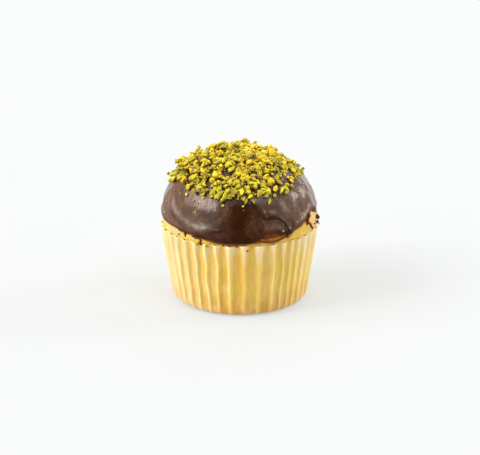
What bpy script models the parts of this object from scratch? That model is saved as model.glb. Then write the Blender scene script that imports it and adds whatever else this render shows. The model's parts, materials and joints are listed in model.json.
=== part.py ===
"""A small chocolate-topped cupcake in its pleated paper case, with chopped pistachios on the icing.

Three pieces share one upright axis: the paper case, the sponge cake that fills it, and the chocolate
icing, a thin cap over the cake's dome with the pistachio pieces fused to it. Metres, +Z up. The origin
is the middle of the case's underside, and the front is at -Y. An azimuth is measured in degrees from
the front and grows towards +X.
"""

import math
import random

import bmesh
import bpy
from mathutils import Euler, Matrix, Vector

MM = 0.001
GAP = 0.3 * MM  # between neighbouring pieces

# Paper case
CASE_HEIGHT = 28.4 * MM
CASE_FOOT_RADIUS = 25.0 * MM  # to the crests of the pleats
CASE_RIM_RADIUS = 29.4 * MM
CASE_LEAN = 0.25 * MM  # of the rim, to the left
CASE_CORNER = 2.7 * MM  # rounding between the underside and the wall
PAPER = 0.4 * MM
PLEATS = 40
COLUMNS_PER_PLEAT = 4
WALL_COLUMNS = PLEATS * COLUMNS_PER_PLEAT
PLEAT_DEPTH_FOOT = 0.7 * MM
PLEAT_DEPTH_RIM = 1.2 * MM
PLEAT_SHARPNESS = 1.6
PLEAT_SHIFT = 2.0  # degrees, of all the pleats
FRONT_SHIFTS = ((20.0, 20.0, 5.2), (-12.0, 10.0, -1.5))  # azimuth, width, degrees
BACK_SHIFTS = ((5, 1.0, 1.6), (9, 2.0, 1.1))  # waves round the case, phase, degrees
OUTER_HEIGHTS = (0.0, 0.3 * CASE_CORNER, CASE_CORNER, CASE_HEIGHT)
INNER_HEIGHTS = (PAPER, CASE_CORNER, CASE_HEIGHT)

# Chocolate icing
ICING_TOP = 54.5 * MM
ICING_RADIUS = 29.2 * MM
ICING_SPRING = 27.0 * MM  # height where the dome's curve is upright
ICING_FLATNESS = 2.6  # exponents of the dome's superellipse
ICING_FULLNESS = 2.2
ICING_TUCK_HEIGHT = 33.0 * MM  # below this the icing turns in towards the case
ICING_TUCK_REACH = 4.0 * MM
ICING_TUCK = 0.6 * MM
ICING_THICKNESS = 1.0 * MM
ICING_COLUMNS = WALL_COLUMNS // 2
OUTER_STEPS = (0.0, 0.09, 0.18, 0.29, 0.43, 0.60, 0.79, 0.94)  # shares of the way up from the edge
INNER_STEPS = (0.0, 0.26, 0.62, 0.93)
SWELLINGS = ((3, 0.4, 0.22 * MM), (5, 2.2, 0.14 * MM))  # waves round the icing, phase, height
SLOPE_STEP = 0.05 * MM  # over which a slope is measured

# Lower edge of the icing
EDGE_FRONT = 29.1 * MM
EDGE_SIDE_RISE = 3.5 * MM
EDGE_RIGHT_RISE = 0.8 * MM
EDGE_LOBES, EDGE_LOBE_PHASE, EDGE_LOBE_DEPTH = 7, 0.9, 0.2 * MM
NOTCH_AZIMUTH, NOTCH_WIDTH, NOTCH_RISE = 69.0, 8.0, 3.0 * MM
FOLD_AZIMUTH, FOLD_WIDTH, FOLD_RISE = 28.0, 9.0, 2.4 * MM
FOLD_DEPTH = 0.9 * MM
FOLD_STEP = 0.6 * MM  # half the height over which the icing steps back under the crease
FOLD_CREASE = 37.6 * MM  # height of the fold's upper crease at its left end
FOLD_CREASE_FALL = 0.2 * MM  # for each degree to the right

# Chopped pistachios
NUT_SEED = 11
NUT_SHAPES = 14
NUT_CORNERS = 8
NUT_BREADTH = 0.82  # for each unit of length
NUT_THICKNESS = 0.66
LONGEST_NUT = 5.0 * MM
SHORTEST_NUT = 3.0 * MM
NUTS = 186
NUT_SPREAD = 24.4 * MM  # radius of the covered top
NUT_CROWDING = 0.43  # under 0.5 puts more of them on the steep shoulder
NUT_STRAY = 1.4 * MM
NUT_LEAN = 0.5  # radians
NUT_BURIED = 0.5 * MM
PILED_NUTS = 30  # lie on the others
PILED_SPREAD = 15.0 * MM
PILED_LIFT = 0.6 * MM
GOLDEN_ANGLE = 137.508


def bump(value, centre, width, power=2):
    """1 at the centre, falling to 0 on both sides over the width."""
    return math.exp(-abs((value - centre) / width) ** power)


def smooth(low, high, value):
    """0 at low, 1 at high, with a soft start and end."""
    share = min(max((value - low) / (high - low), 0.0), 1.0)
    return share * share * (3 - 2 * share)


def at(azimuth, radius, height):
    angle = math.radians(azimuth)
    return Vector((radius * math.sin(angle), -radius * math.cos(angle), height))


def half_turn(azimuth):
    return (azimuth + 180.0) % 360.0 - 180.0


def column_azimuth(nominal):
    """Where a column of points stands: the pleats are spread by hand, so they aren't evenly wide."""
    nominal = half_turn(nominal)
    angle = math.radians(nominal)
    front = sum(size * bump(nominal, centre, width) for centre, width, size in FRONT_SHIFTS)
    back = sum(size * math.sin(waves * angle + phase) for waves, phase, size in BACK_SHIFTS)
    return nominal + PLEAT_SHIFT + front + back * (1 - math.cos(angle)) / 2


def case_radius(nominal, height):
    """Outside of the paper wall, between the crests and the valleys of its pleats."""
    share = height / CASE_HEIGHT
    crest = CASE_FOOT_RADIUS + share * (CASE_RIM_RADIUS - CASE_FOOT_RADIUS)
    depth = PLEAT_DEPTH_FOOT + share * (PLEAT_DEPTH_RIM - PLEAT_DEPTH_FOOT)
    swell = (0.5 + 0.5 * math.cos(math.radians(nominal * PLEATS))) ** PLEAT_SHARPNESS
    below = max(1 - height / CASE_CORNER, 0.0)
    corner = CASE_CORNER * (1 - math.sqrt(1 - below * below))
    lean = CASE_LEAN * share * math.sin(math.radians(column_azimuth(nominal)))
    return crest - lean - depth * (1 - swell) - corner


def edge_height(azimuth):
    """The icing's lower edge, low at the front and the back and drawn up at the sides."""
    azimuth = half_turn(azimuth)
    angle = math.radians(azimuth)
    height = EDGE_FRONT + EDGE_SIDE_RISE * math.sin(angle) ** 2 + EDGE_RIGHT_RISE * math.sin(angle)
    height += EDGE_LOBE_DEPTH * math.sin(EDGE_LOBES * angle + EDGE_LOBE_PHASE)
    height += NOTCH_RISE * bump(azimuth, NOTCH_AZIMUTH, NOTCH_WIDTH)
    return height + FOLD_RISE * bump(azimuth, FOLD_AZIMUTH, FOLD_WIDTH, 4)


def dome_radius(height):
    rise = min(max(height - ICING_SPRING, 0.0) / (ICING_TOP - ICING_SPRING), 1.0)
    radius = ICING_RADIUS * (1 - rise**ICING_FLATNESS) ** (1 / ICING_FULLNESS)
    below = max(ICING_TUCK_HEIGHT - height, 0.0) / ICING_TUCK_REACH
    return radius - ICING_TUCK * below * below


def dome_height(away):
    """Height of the icing's outside at a distance from the axis."""
    flat = (1 - abs(away / ICING_RADIUS) ** ICING_FULLNESS) ** (1 / ICING_FLATNESS)
    return ICING_SPRING + (ICING_TOP - ICING_SPRING) * flat


def icing_radius(azimuth, height):
    """Outside of the icing, with its slow swellings and the stepped-back lap of the fold."""
    azimuth = half_turn(azimuth)
    angle = math.radians(azimuth)
    swelling = sum(size * math.sin(waves * angle + phase) for waves, phase, size in SWELLINGS)
    fade = smooth(ICING_TOP, 0.7 * ICING_TOP, height)
    crease = FOLD_CREASE - FOLD_CREASE_FALL * (azimuth - FOLD_AZIMUTH + FOLD_WIDTH)
    lap = smooth(crease + FOLD_STEP, crease - FOLD_STEP, height)
    lap *= bump(azimuth, FOLD_AZIMUTH, FOLD_WIDTH + 1, 6)
    return dome_radius(height) + fade * swelling - FOLD_DEPTH * lap


def icing_point(azimuth, step, inset):
    """A point at a share of the way from the icing's edge to its top, set in square to the surface."""
    start = edge_height(azimuth) + ICING_THICKNESS / 2
    height = start + step * (ICING_TOP - start)
    slope = (dome_radius(height + SLOPE_STEP) - dome_radius(height - SLOPE_STEP)) / (2 * SLOPE_STEP)
    level, rise = Vector((1.0, -slope)).normalized()
    return at(azimuth, icing_radius(azimuth, height) - inset * level, height - inset * rise)


def icing_ring(step, inset):
    turns = (column_azimuth(column * 360 / ICING_COLUMNS) for column in range(ICING_COLUMNS))
    return [icing_point(azimuth, step, inset) for azimuth in turns]


def lip_ring(inset):
    """Points level with the underside of the icing's edge."""
    ring = icing_ring(0.0, inset)
    for point in ring:
        point.z -= ICING_THICKNESS / 2
    return ring


def wall_ring(height, inset, lift=0.0):
    """Points round the pleated wall, set in from its outside."""
    ring = []
    for column in range(WALL_COLUMNS):
        nominal = column * 360 / WALL_COLUMNS
        ring.append(at(column_azimuth(nominal), case_radius(nominal, height) - inset, height + lift))
    return ring


def material(name, colour, roughness, coat=0.0):
    made = bpy.data.materials.new(name)
    made.use_nodes = True
    shader = made.node_tree.nodes["Principled BSDF"]
    shader.inputs["Base Color"].default_value = (*colour, 1.0)
    shader.inputs["Roughness"].default_value = roughness
    shader.inputs["Metallic"].default_value = 0.0
    shader.inputs["Coat Weight"].default_value = coat
    made.diffuse_color = (*colour, 1.0)
    return made


def join_rings(bm, first, second):
    """Faces between two closed rings, where the first has as many points as the second, or twice as many."""
    twice = len(first) > len(second)
    for column, point in enumerate(second):
        after = (column + 1) % len(second)
        if twice:
            left, middle, right = (first[(2 * column + step) % len(first)] for step in range(3))
            bm.faces.new((left, middle, point))
            bm.faces.new((middle, second[after], point))
            bm.faces.new((middle, right, second[after]))
        else:
            bm.faces.new((first[column], first[after], second[after], point))


def close_end(bm, ring, pole):
    """Closes a ring with one flat face or, where a pole is given, with a fan up to it."""
    if pole is None:
        bm.faces.new(ring)
        return
    tip = bm.verts.new(pole)
    for column, point in enumerate(ring):
        bm.faces.new((point, ring[(column + 1) % len(ring)], tip))


def turned(name, rings, first_pole, last_pole, finish):
    """One closed body through a row of rings."""
    bm = bmesh.new()
    loops = [[bm.verts.new(point) for point in ring] for ring in rings]
    for first, second in zip(loops, loops[1:]):
        join_rings(bm, first, second)
    close_end(bm, loops[0], first_pole)
    close_end(bm, loops[-1], last_pole)
    bmesh.ops.recalc_face_normals(bm, faces=bm.faces)
    mesh = bpy.data.meshes.new(name)
    bm.to_mesh(mesh)
    bm.free()
    mesh.materials.append(finish)
    mesh.shade_smooth()
    mesh.set_sharp_from_angle(angle=math.radians(35))
    made = bpy.data.objects.new(name, mesh)
    bpy.context.scene.collection.objects.link(made)
    return made


def make_case(paper):
    outside = [wall_ring(height, 0.0) for height in OUTER_HEIGHTS]
    inside = [wall_ring(height, PAPER) for height in reversed(INNER_HEIGHTS)]
    turned("paper_case", outside + inside, None, None, paper)


def make_cake(crumb):
    """Fluted by the case up to its rim, then a plain dome under the icing."""
    inset = PAPER + GAP
    foot = [wall_ring(PAPER, inset, GAP)]
    fluted = [wall_ring(height, inset) for height in INNER_HEIGHTS[1:]]
    under = ICING_THICKNESS + GAP
    dome = [lip_ring(under)] + [icing_ring(step, under) for step in INNER_STEPS]
    turned("sponge_cake", foot + fluted + dome, None, Vector((0.0, 0.0, ICING_TOP - under)), crumb)


def make_icing(chocolate):
    """Down the outside from the top, round the lip, and up the inside again."""
    outside = [icing_ring(step, 0.0) for step in reversed(OUTER_STEPS)]
    inside = [icing_ring(step, ICING_THICKNESS) for step in INNER_STEPS]
    rings = outside + [lip_ring(ICING_THICKNESS / 2)] + inside
    top = Vector((0.0, 0.0, ICING_TOP))
    under = Vector((0.0, 0.0, ICING_TOP - ICING_THICKNESS))
    return turned("chocolate_icing", rings, top, under, chocolate)


def nut_shape(number, nut):
    """A chopped piece one unit long: the hull of a few points spread unevenly over an ellipsoid."""
    draw = random.Random(NUT_SEED + number)
    bm = bmesh.new()
    for corner in range(NUT_CORNERS):
        level = 1 - 2 * (corner + draw.uniform(0.1, 0.9)) / NUT_CORNERS
        turn = math.radians(corner * GOLDEN_ANGLE) + draw.uniform(-0.4, 0.4)
        round_reach = math.sqrt(1 - level * level)
        reach = 0.5 * draw.uniform(0.8, 1.0)
        across = NUT_BREADTH * round_reach * math.cos(turn)
        up = NUT_THICKNESS * round_reach * math.sin(turn)
        bm.verts.new((reach * level, reach * across, reach * up))
    bmesh.ops.convex_hull(bm, input=bm.verts)
    inner = [point for point in bm.verts if not point.link_faces]
    bmesh.ops.delete(bm, geom=inner, context="VERTS")
    bmesh.ops.recalc_face_normals(bm, faces=bm.faces)
    mesh = bpy.data.meshes.new(f"pistachio_{number}")
    bm.to_mesh(mesh)
    bm.free()
    mesh.materials.append(nut)
    return mesh


def nut_places():
    """(azimuth, distance from the axis, length, height above the icing) of each piece on the top."""
    draw = random.Random(NUT_SEED)
    places = []
    for index in range(NUTS):
        length = LONGEST_NUT + draw.random() ** 0.7 * (SHORTEST_NUT - LONGEST_NUT)
        away = NUT_SPREAD * ((index + 0.5) / NUTS) ** NUT_CROWDING + draw.uniform(-NUT_STRAY, NUT_STRAY)
        places.append((index * GOLDEN_ANGLE + draw.uniform(-6, 6), abs(away), length, -NUT_BURIED))
    for index in range(PILED_NUTS):
        length = draw.uniform(SHORTEST_NUT, LONGEST_NUT)
        away = PILED_SPREAD * ((index + 0.5) / PILED_NUTS) ** NUT_CROWDING
        places.append((index * GOLDEN_ANGLE + 60, away, length, PILED_LIFT))
    return places


def add_nuts(nut):
    """A collection of pieces, each sunk a little into the icing or lifted onto the others."""
    shapes = [nut_shape(number, nut) for number in range(NUT_SHAPES)]
    draw = random.Random(NUT_SEED)
    pieces = bpy.data.collections.new("pistachios")
    bpy.context.scene.collection.children.link(pieces)
    for index, (azimuth, away, length, lift) in enumerate(nut_places()):
        fall = dome_height(away - SLOPE_STEP) - dome_height(away + SLOPE_STEP)
        tilt = Matrix.Rotation(math.atan2(fall, 2 * SLOPE_STEP), 3, "Y")
        outward = Matrix.Rotation(math.radians(azimuth - 90), 3, "Z") @ tilt
        lean = Euler((draw.uniform(-NUT_LEAN, NUT_LEAN), draw.uniform(-NUT_LEAN, NUT_LEAN), 0.0))
        spin = Matrix.Rotation(draw.uniform(0, math.tau), 3, "Z")
        turn = outward @ spin @ lean.to_matrix()
        normal = outward @ Vector((0, 0, 1))
        shape = shapes[index % NUT_SHAPES]
        lowest = min((turn @ point.co).dot(normal) for point in shape.vertices) * length
        place = at(azimuth, away, dome_height(away)) + normal * (lift - lowest)
        piece = bpy.data.objects.new(f"pistachio_{index}", shape)
        piece.matrix_world = Matrix.LocRotScale(place, turn.to_quaternion(), Vector((length,) * 3))
        pieces.objects.link(piece)
    return pieces


def body_of(start):
    """Every point that edges join to this one."""
    body, reached = set(), [start]
    while reached:
        point = reached.pop()
        if point not in body:
            body.add(point)
            reached += [edge.other_vert(point) for edge in point.link_edges]
    return body


def keep_largest_body(mesh):
    """Drops loose scraps and the walls of sealed hollows, each of which is a shell of its own."""
    bm = bmesh.new()
    bm.from_mesh(mesh)
    left, largest = set(bm.verts), set()
    while left:
        body = body_of(next(iter(left)))
        left -= body
        largest = max(largest, body, key=len)
    dropped = [point for point in bm.verts if point not in largest]
    bmesh.ops.delete(bm, geom=dropped, context="VERTS")
    bm.to_mesh(mesh)
    bm.free()


def fuse(base, pieces):
    """One union of the base with every object of the collection, which is then removed."""
    union = base.modifiers.new("union", "BOOLEAN")
    union.operation = "UNION"
    union.operand_type = "COLLECTION"
    union.collection = pieces
    union.solver = "EXACT"
    union.material_mode = "TRANSFER"
    graph = bpy.context.evaluated_depsgraph_get()
    fused = bpy.data.meshes.new_from_object(base.evaluated_get(graph), depsgraph=graph)
    base.modifiers.clear()
    base.data = fused
    keep_largest_body(fused)
    for piece in list(pieces.objects):
        bpy.data.objects.remove(piece, do_unlink=True)
    bpy.data.collections.remove(pieces)


def main():
    for old in list(bpy.data.objects):
        bpy.data.objects.remove(old, do_unlink=True)
    make_case(material("greased_paper", (0.80, 0.58, 0.27), 0.6))
    make_cake(material("baked_sponge", (0.72, 0.42, 0.13), 0.85))
    icing = make_icing(material("dark_chocolate", (0.055, 0.026, 0.018), 0.35, 0.2))
    fuse(icing, add_nuts(material("pistachio", (0.60, 0.54, 0.08), 0.6)))


main()
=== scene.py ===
"""The looks of a cupcake in its pleated paper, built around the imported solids.

Lengths are in metres and azimuths in degrees: 0 faces the camera and 90 is the right-hand side.
"""
import json
import math
import random

import bmesh
import bpy
from bpy.props import FloatProperty, FloatVectorProperty, IntProperty, PointerProperty
from mathutils import Euler, Matrix, Vector, noise
from mathutils.bvhtree import BVHTree

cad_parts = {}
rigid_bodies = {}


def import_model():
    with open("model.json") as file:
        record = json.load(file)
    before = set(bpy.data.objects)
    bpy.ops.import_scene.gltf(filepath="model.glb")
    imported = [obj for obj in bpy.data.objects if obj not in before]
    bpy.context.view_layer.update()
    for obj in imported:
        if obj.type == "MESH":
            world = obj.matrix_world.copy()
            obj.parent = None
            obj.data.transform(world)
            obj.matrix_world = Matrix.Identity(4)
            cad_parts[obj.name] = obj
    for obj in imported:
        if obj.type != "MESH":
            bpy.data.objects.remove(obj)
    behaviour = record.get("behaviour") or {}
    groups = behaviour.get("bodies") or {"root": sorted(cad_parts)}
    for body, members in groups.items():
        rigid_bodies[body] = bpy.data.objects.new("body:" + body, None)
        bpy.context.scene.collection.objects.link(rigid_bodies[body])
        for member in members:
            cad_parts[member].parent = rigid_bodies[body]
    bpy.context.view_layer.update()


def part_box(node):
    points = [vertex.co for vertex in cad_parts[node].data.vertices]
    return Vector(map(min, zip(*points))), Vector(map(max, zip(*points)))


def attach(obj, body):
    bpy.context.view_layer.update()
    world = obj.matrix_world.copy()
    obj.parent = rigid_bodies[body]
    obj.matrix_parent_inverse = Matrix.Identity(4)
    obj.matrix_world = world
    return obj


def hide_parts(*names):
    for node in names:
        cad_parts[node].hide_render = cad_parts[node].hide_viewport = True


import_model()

bl_info = {
    "name": "Cupcake",
    "version": (1, 0, 0),
    "blender": (4, 5, 0),
    "location": "3D View > Sidebar > Cupcake",
    "description": "Builds a sponge cupcake with chocolate icing and chopped pistachios",
    "category": "Add Mesh",
}

MM = 0.001
SQUARE_CM = 1e-4
GOLDEN_ANGLE = 137.508

# The photograph's frame: its pixels, and the focal length in pixels.
FRAME_WIDTH, FRAME_HEIGHT = 480, 455
SENSOR = 36.0
FOCAL = 120.96 * FRAME_WIDTH / SENSOR

# The case.
PLEAT_SHARPNESS = 1.6
PLEAT_SHIFT = 2.0
FRONT_SHIFTS = ((20, 20, 5.2), (-12, 10, -1.5))  # azimuth, width, degrees
BACK_SHIFTS = ((5, 1.0, 1.6), (9, 2.0, 1.1))  # waves round the case, phase, degrees
CASE_CORNER = 2.7 * MM
CASE_LEAN = 0.25 * MM
CASE_WAVER = 4.0  # how far the pleats wander, in degrees
CASE_CRUMPLE = 0.22 * MM
CASE_SEED = 4
CAKE_FLUTING, RIM_FLUTING = 0.2, 0.6  # how far the cake fills the paper's crests, low down and at the rim
RIM_REACH = 3.0 * MM
CAKE_CLEARANCE = 0.22 * MM

# The heights of the cake: its foot, the rows between which it is finely cut, and its hidden top.
CAKE_FOOT, FINE_FOOT, FINE_TOP, CAKE_TOP = 0.7 * MM, 27.0 * MM, 38.0 * MM, 53.2 * MM
CAKE_BELOW_COAT = 0.3 * MM

# The icing.
ICING_SPRING = 27.0 * MM
ICING_FLATNESS = 2.6
ICING_FULLNESS = 2.2
ICING_TUCK_HEIGHT = 33 * MM
ICING_TUCK_REACH = 4 * MM
ICING_TUCK = 0.6 * MM
SWELLINGS = ((3, 0.4, 0.22 * MM), (5, 2.2, 0.14 * MM))  # waves round the dome, phase, size
SLOPE_STEP = 0.05 * MM

EDGE_FRONT = 29.1 * MM
EDGE_SIDE_RISE = 3.5 * MM
EDGE_RIGHT_RISE = 0.8 * MM
EDGE_LOBES = 7
EDGE_LOBE_PHASE = 0.9
EDGE_LOBE_DEPTH = 0.2 * MM
NOTCH = 69.0, 8.0, 3.0 * MM  # azimuth, width, rise
FOLD = 28.0, 9.0, 2.4 * MM
# Waves and drips of the edge that are too small for the solids: azimuth, width, and drop in millimetres.
EDGE_WAVES = (
    (-46, 7, 0.7), (-27, 8, -0.8), (-10, 6, -0.3), (18, 3.2, -2.0),
    (32.6, 3.6, 1.4), (38.5, 2.6, 0.8), (45.5, 6, -0.75), (57, 6, -1.1),
)
EDGE_DRIPS = (
    (-43.2, 1.2, 0.8), (-33.4, 1.8, 0.4), (-29.1, 1.0, 0.7), (58.5, 1.3, 1.4),
    (96, 2, 0.8), (-118, 2, 0.9), (151, 1.6, 0.8),
)

# The chopped nuts.
NUT_SEED = 11
NUT_SHAPES = 14
NUT_CORNERS = 8
NUT_BREADTH = 0.82
NUT_THICKNESS = 0.66
NUT_BEVEL = 0.045
NUTS = 186
NUT_SPREAD = 24.4 * MM
NUT_CROWDING = 0.43
NUT_STRAY = 1.4 * MM
NUT_LEAN = 0.5
NUT_BURIED = 0.5 * MM
PILED_NUTS = 30
PILED_SPREAD = 15.0 * MM
PILED_LIFT = 0.6 * MM
HEAP_DROP, HEAP_LIFT = 1.0 * MM, 0.8 * MM  # how much lower it sits on the right, and higher on the left
HEAP_SIDES = 5 * MM, 16 * MM  # between these distances from the middle
CLUMP_DENSITY = 2.8  # how much closer than on average the small pieces lie within a clump


# ---------------------------------------------------------------- shapes shared by the pieces


def srgb(*levels):
    """The linear colour that a screen shows as these levels of 0 to 255."""
    shares = [level / 255 for level in levels]
    return tuple(s / 12.92 if s <= 0.04045 else ((s + 0.055) / 1.055) ** 2.4 for s in shares)


def bump(value, centre, width, power=2):
    return math.exp(-abs((value - centre) / width) ** power)


def smooth(low, high, value):
    share = min(max((value - low) / (high - low), 0), 1)
    return share * share * (3 - 2 * share)


def half_turn(azimuth):
    return (azimuth + 180) % 360 - 180


def at(azimuth, radius, height):
    angle = math.radians(azimuth)
    return Vector((radius * math.sin(angle), -radius * math.cos(angle), height))


def column_azimuth(nominal):
    """Where a column of the case really stands, as the pleats are uneven."""
    nominal = half_turn(nominal)
    angle = math.radians(nominal)
    front = sum(size * bump(nominal, centre, width) for centre, width, size in FRONT_SHIFTS)
    back = sum(size * math.sin(waves * angle + phase) for waves, phase, size in BACK_SHIFTS)
    return nominal + PLEAT_SHIFT + front + back * (1 - math.cos(angle)) / 2


def case_radius(paper, nominal, height):
    """The surface that the cake follows inside the case: its valleys, and a little way into its crests."""
    share = height / paper.height
    crest = paper.foot_radius + share * (paper.rim_radius - paper.foot_radius)
    depth = paper.foot_depth + share * (paper.rim_depth - paper.foot_depth)
    near_rim = smooth(paper.height - RIM_REACH, paper.height - 0.6 * MM, height)
    filled = CAKE_FLUTING + near_rim * (RIM_FLUTING - CAKE_FLUTING)
    swell = filled * (0.5 + 0.5 * math.cos(math.radians(nominal * paper.pleats))) ** PLEAT_SHARPNESS
    below = max(1 - height / CASE_CORNER, 0)
    corner = CASE_CORNER * (1 - math.sqrt(1 - below * below))
    lean = CASE_LEAN * share * math.sin(math.radians(column_azimuth(nominal)))
    return crest - lean - depth * (1 - swell) - corner


def edge_height(azimuth):
    angle = math.radians(azimuth)
    side = math.sin(angle)
    height = EDGE_FRONT + EDGE_SIDE_RISE * side * side + EDGE_RIGHT_RISE * side
    height += EDGE_LOBE_DEPTH * math.sin(EDGE_LOBES * angle + EDGE_LOBE_PHASE)
    height += NOTCH[2] * bump(azimuth, NOTCH[0], NOTCH[1])
    return height + FOLD[2] * bump(azimuth, FOLD[0], FOLD[1], 4)


def drop_of(waves, azimuth):
    return sum(drop * MM * bump(azimuth, centre, width) for centre, width, drop in waves)


def coat_edge(azimuth):
    """The lower edge of the coat without its small drips."""
    return edge_height(azimuth) - drop_of(EDGE_WAVES, azimuth)


def dome_radius(icing, height):
    rise = min(max((height - ICING_SPRING) / (icing.top - ICING_SPRING), 0), 1)
    radius = icing.radius * (1 - rise**ICING_FLATNESS) ** (1 / ICING_FULLNESS)
    tuck = max(ICING_TUCK_HEIGHT - height, 0) / ICING_TUCK_REACH
    return radius - ICING_TUCK * tuck * tuck


def dome_height(icing, away):
    level = max(1 - abs(away / icing.radius) ** ICING_FULLNESS, 0)
    return ICING_SPRING + (icing.top - ICING_SPRING) * level ** (1 / ICING_FLATNESS)


def swollen_radius(icing, azimuth, height):
    """The dome with its slow swellings, before any fine relief."""
    angle = math.radians(azimuth)
    fade = smooth(icing.top, 0.7 * icing.top, height)
    swelling = sum(size * math.sin(waves * angle + phase) for waves, phase, size in SWELLINGS)
    return dome_radius(icing, height) + fade * swelling


def write(mesh, name, values, kind="FLOAT", slot="value"):
    """Stores a value for each point of the mesh."""
    mesh.attributes.new(name, kind, "POINT").data.foreach_set(slot, values)


def ring_mesh(name, rings, attributes=None):
    """A closed mesh from rings that run down the outside and up the inside. A ring of one point is a pole."""
    points, starts, faces = [], [], []
    for ring in rings:
        starts.append(len(points))
        points.extend(ring)
    for index in range(len(rings) - 1):
        sizes = len(rings[index]), len(rings[index + 1])
        for column in range(max(sizes)):
            upper = [starts[index] + (column + step) % sizes[0] for step in (0, 1)]
            lower = [starts[index + 1] + (column + step) % sizes[1] for step in (0, 1)]
            faces.append(list(dict.fromkeys((upper[0], lower[0], lower[1], upper[1]))))
    mesh = bpy.data.meshes.new(name)
    mesh.from_pydata(points, [], faces)
    for label, values in (attributes or {}).items():
        write(mesh, label, values)
    mesh.shade_smooth()
    mesh.update()
    return mesh


def new_object(name, mesh):
    piece = bpy.data.objects.new(name, mesh)
    bpy.context.scene.collection.objects.link(piece)
    return piece


def ground_tree(scene):
    """One search tree over the paper, the cake and the coat, to lay small things on."""
    points, faces = [], []
    for name in ("pleated_paper", "golden_sponge", "chocolate_coat"):
        mesh, start = scene.objects[name].data, len(points)
        points.extend(vertex.co.copy() for vertex in mesh.vertices)
        faces.extend([start + index for index in face.vertices] for face in mesh.polygons)
    return BVHTree.FromPolygons(points, faces)


def hull_of(points):
    """The convex hull of some points."""
    shape = bmesh.new()
    for point in points:
        shape.verts.new(point)
    hull = bmesh.ops.convex_hull(shape, input=shape.verts)
    spare = dict.fromkeys(hull["geom_interior"] + hull["geom_unused"])
    spare = [item for item in spare if isinstance(item, bmesh.types.BMVert)]
    bmesh.ops.delete(shape, geom=spare, context="VERTS")
    return shape


# ---------------------------------------------------------------- node trees


class Wire:
    """One output socket. Arithmetic on it adds Math nodes to its tree."""

    def __init__(self, net, socket):
        self.net = net
        self.socket = socket

    def __add__(self, other):
        return self.net.math("ADD", self, other)

    def __sub__(self, other):
        return self.net.math("SUBTRACT", self, other)

    def __rsub__(self, other):
        return self.net.math("SUBTRACT", other, self)

    def __mul__(self, other):
        return self.net.math("MULTIPLY", self, other)

    def __truediv__(self, other):
        return self.net.math("DIVIDE", self, other)

    def __rtruediv__(self, other):
        return self.net.math("DIVIDE", other, self)

    def __pow__(self, other):
        return self.net.math("POWER", self, other)

    __radd__ = __add__
    __rmul__ = __mul__

    def also(self, output):
        """Another output of the same node."""
        return Wire(self.net, self.socket.node.outputs[output])


class Net:
    """Adds nodes to a tree. The same maths serves materials and Geometry Nodes."""

    def __init__(self, tree):
        self.tree = tree

    def add(self, kind, settings=None, values=None, output=0):
        node = self.tree.nodes.new(kind)
        for name, value in (settings or {}).items():
            if name == "stops":
                self.set_stops(node.color_ramp.elements, value)
            else:
                setattr(node, name, value)
        for name, value in (values or {}).items():
            for item in value if isinstance(value, list) else [value]:
                if isinstance(item, Wire):
                    self.tree.links.new(item.socket, node.inputs[name])
                else:
                    node.inputs[name].default_value = item
        return Wire(self, node.outputs[output]) if node.outputs else node

    @staticmethod
    def set_stops(elements, stops):
        while len(elements) < len(stops):
            elements.new(1)
        for element, (place, colour) in zip(elements, stops):
            element.position = place
            element.color = (*colour, 1)

    def math(self, operation, *values):
        return self.add("ShaderNodeMath", {"operation": operation}, dict(enumerate(values)))

    def vector(self, operation, *values, output=0):
        return self.add("ShaderNodeVectorMath", {"operation": operation}, dict(enumerate(values)), output)

    def distance(self, place, centre):
        return self.vector("DISTANCE", place, centre, output="Value")

    def scaled(self, vector, factor):
        return self.add("ShaderNodeVectorMath", {"operation": "SCALE"}, {0: vector, "Scale": factor})

    def split(self, vector):
        """The x of a vector, whose y and z are also outputs."""
        return self.add("ShaderNodeSeparateXYZ", values={0: vector})

    def combine(self, x, y, z):
        return self.add("ShaderNodeCombineXYZ", values={0: x, 1: y, 2: z})

    def smooth(self, low, high, value):
        return self.add(
            "ShaderNodeMapRange",
            {"interpolation_type": "SMOOTHSTEP"},
            {"Value": value, "From Min": low, "From Max": high},
        )

    def bump(self, value, centre, width):
        share = (value - centre) / width
        return self.math("EXPONENT", share * share * -1)

    def colour_mix(self, share, low, high):
        low, high = (end if isinstance(end, Wire) else (*end, 1) for end in (low, high))
        return self.add("ShaderNodeMix", {"data_type": "RGBA"}, {0: share, 6: low, 7: high}, 2)

    def ramp(self, share, *stops):
        return self.add("ShaderNodeValToRGB", {"stops": stops}, {0: share})

    def noise(self, place, size, detail=2.0, roughness=0.5):
        """Soft noise around 0.5, with lumps of about this size."""
        values = {"Vector": place, "Scale": 1 / size, "Detail": detail, "Roughness": roughness}
        return self.add("ShaderNodeTexNoise", values=values)

    def stretched(self, place, *scale):
        return self.vector("MULTIPLY", place, scale)

    def attribute(self, name):
        """What an attribute says, in a material."""
        return self.add("ShaderNodeAttribute", {"attribute_name": name}, output="Fac")

    def told(self, name, kind="FLOAT"):
        """What an attribute says, in Geometry Nodes."""
        return self.add("GeometryNodeInputNamedAttribute", {"data_type": kind}, {"Name": name})

    def store(self, geometry, name, value, domain="POINT"):
        values = {"Geometry": geometry, "Name": name, "Value": value}
        return self.add("GeometryNodeStoreNamedAttribute", {"domain": domain}, values)

    def place(self):
        return self.add("ShaderNodeTexCoord", output="Object")

    def relief(self, height, distance, strength=1.0):
        """A Bump node's normal, from a height of 0 to 1 that stands for this distance."""
        values = {"Height": height, "Distance": distance, "Strength": strength}
        return self.add("ShaderNodeBump", values=values)


def new_material(name):
    material = bpy.data.materials.new(name)
    material.use_nodes = True
    material.node_tree.nodes.clear()
    return material, Net(material.node_tree)


def finish_material(net, values):
    shader = net.add("ShaderNodeBsdfPrincipled", values=values)
    net.add("ShaderNodeOutputMaterial", values={"Surface": shader})


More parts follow.
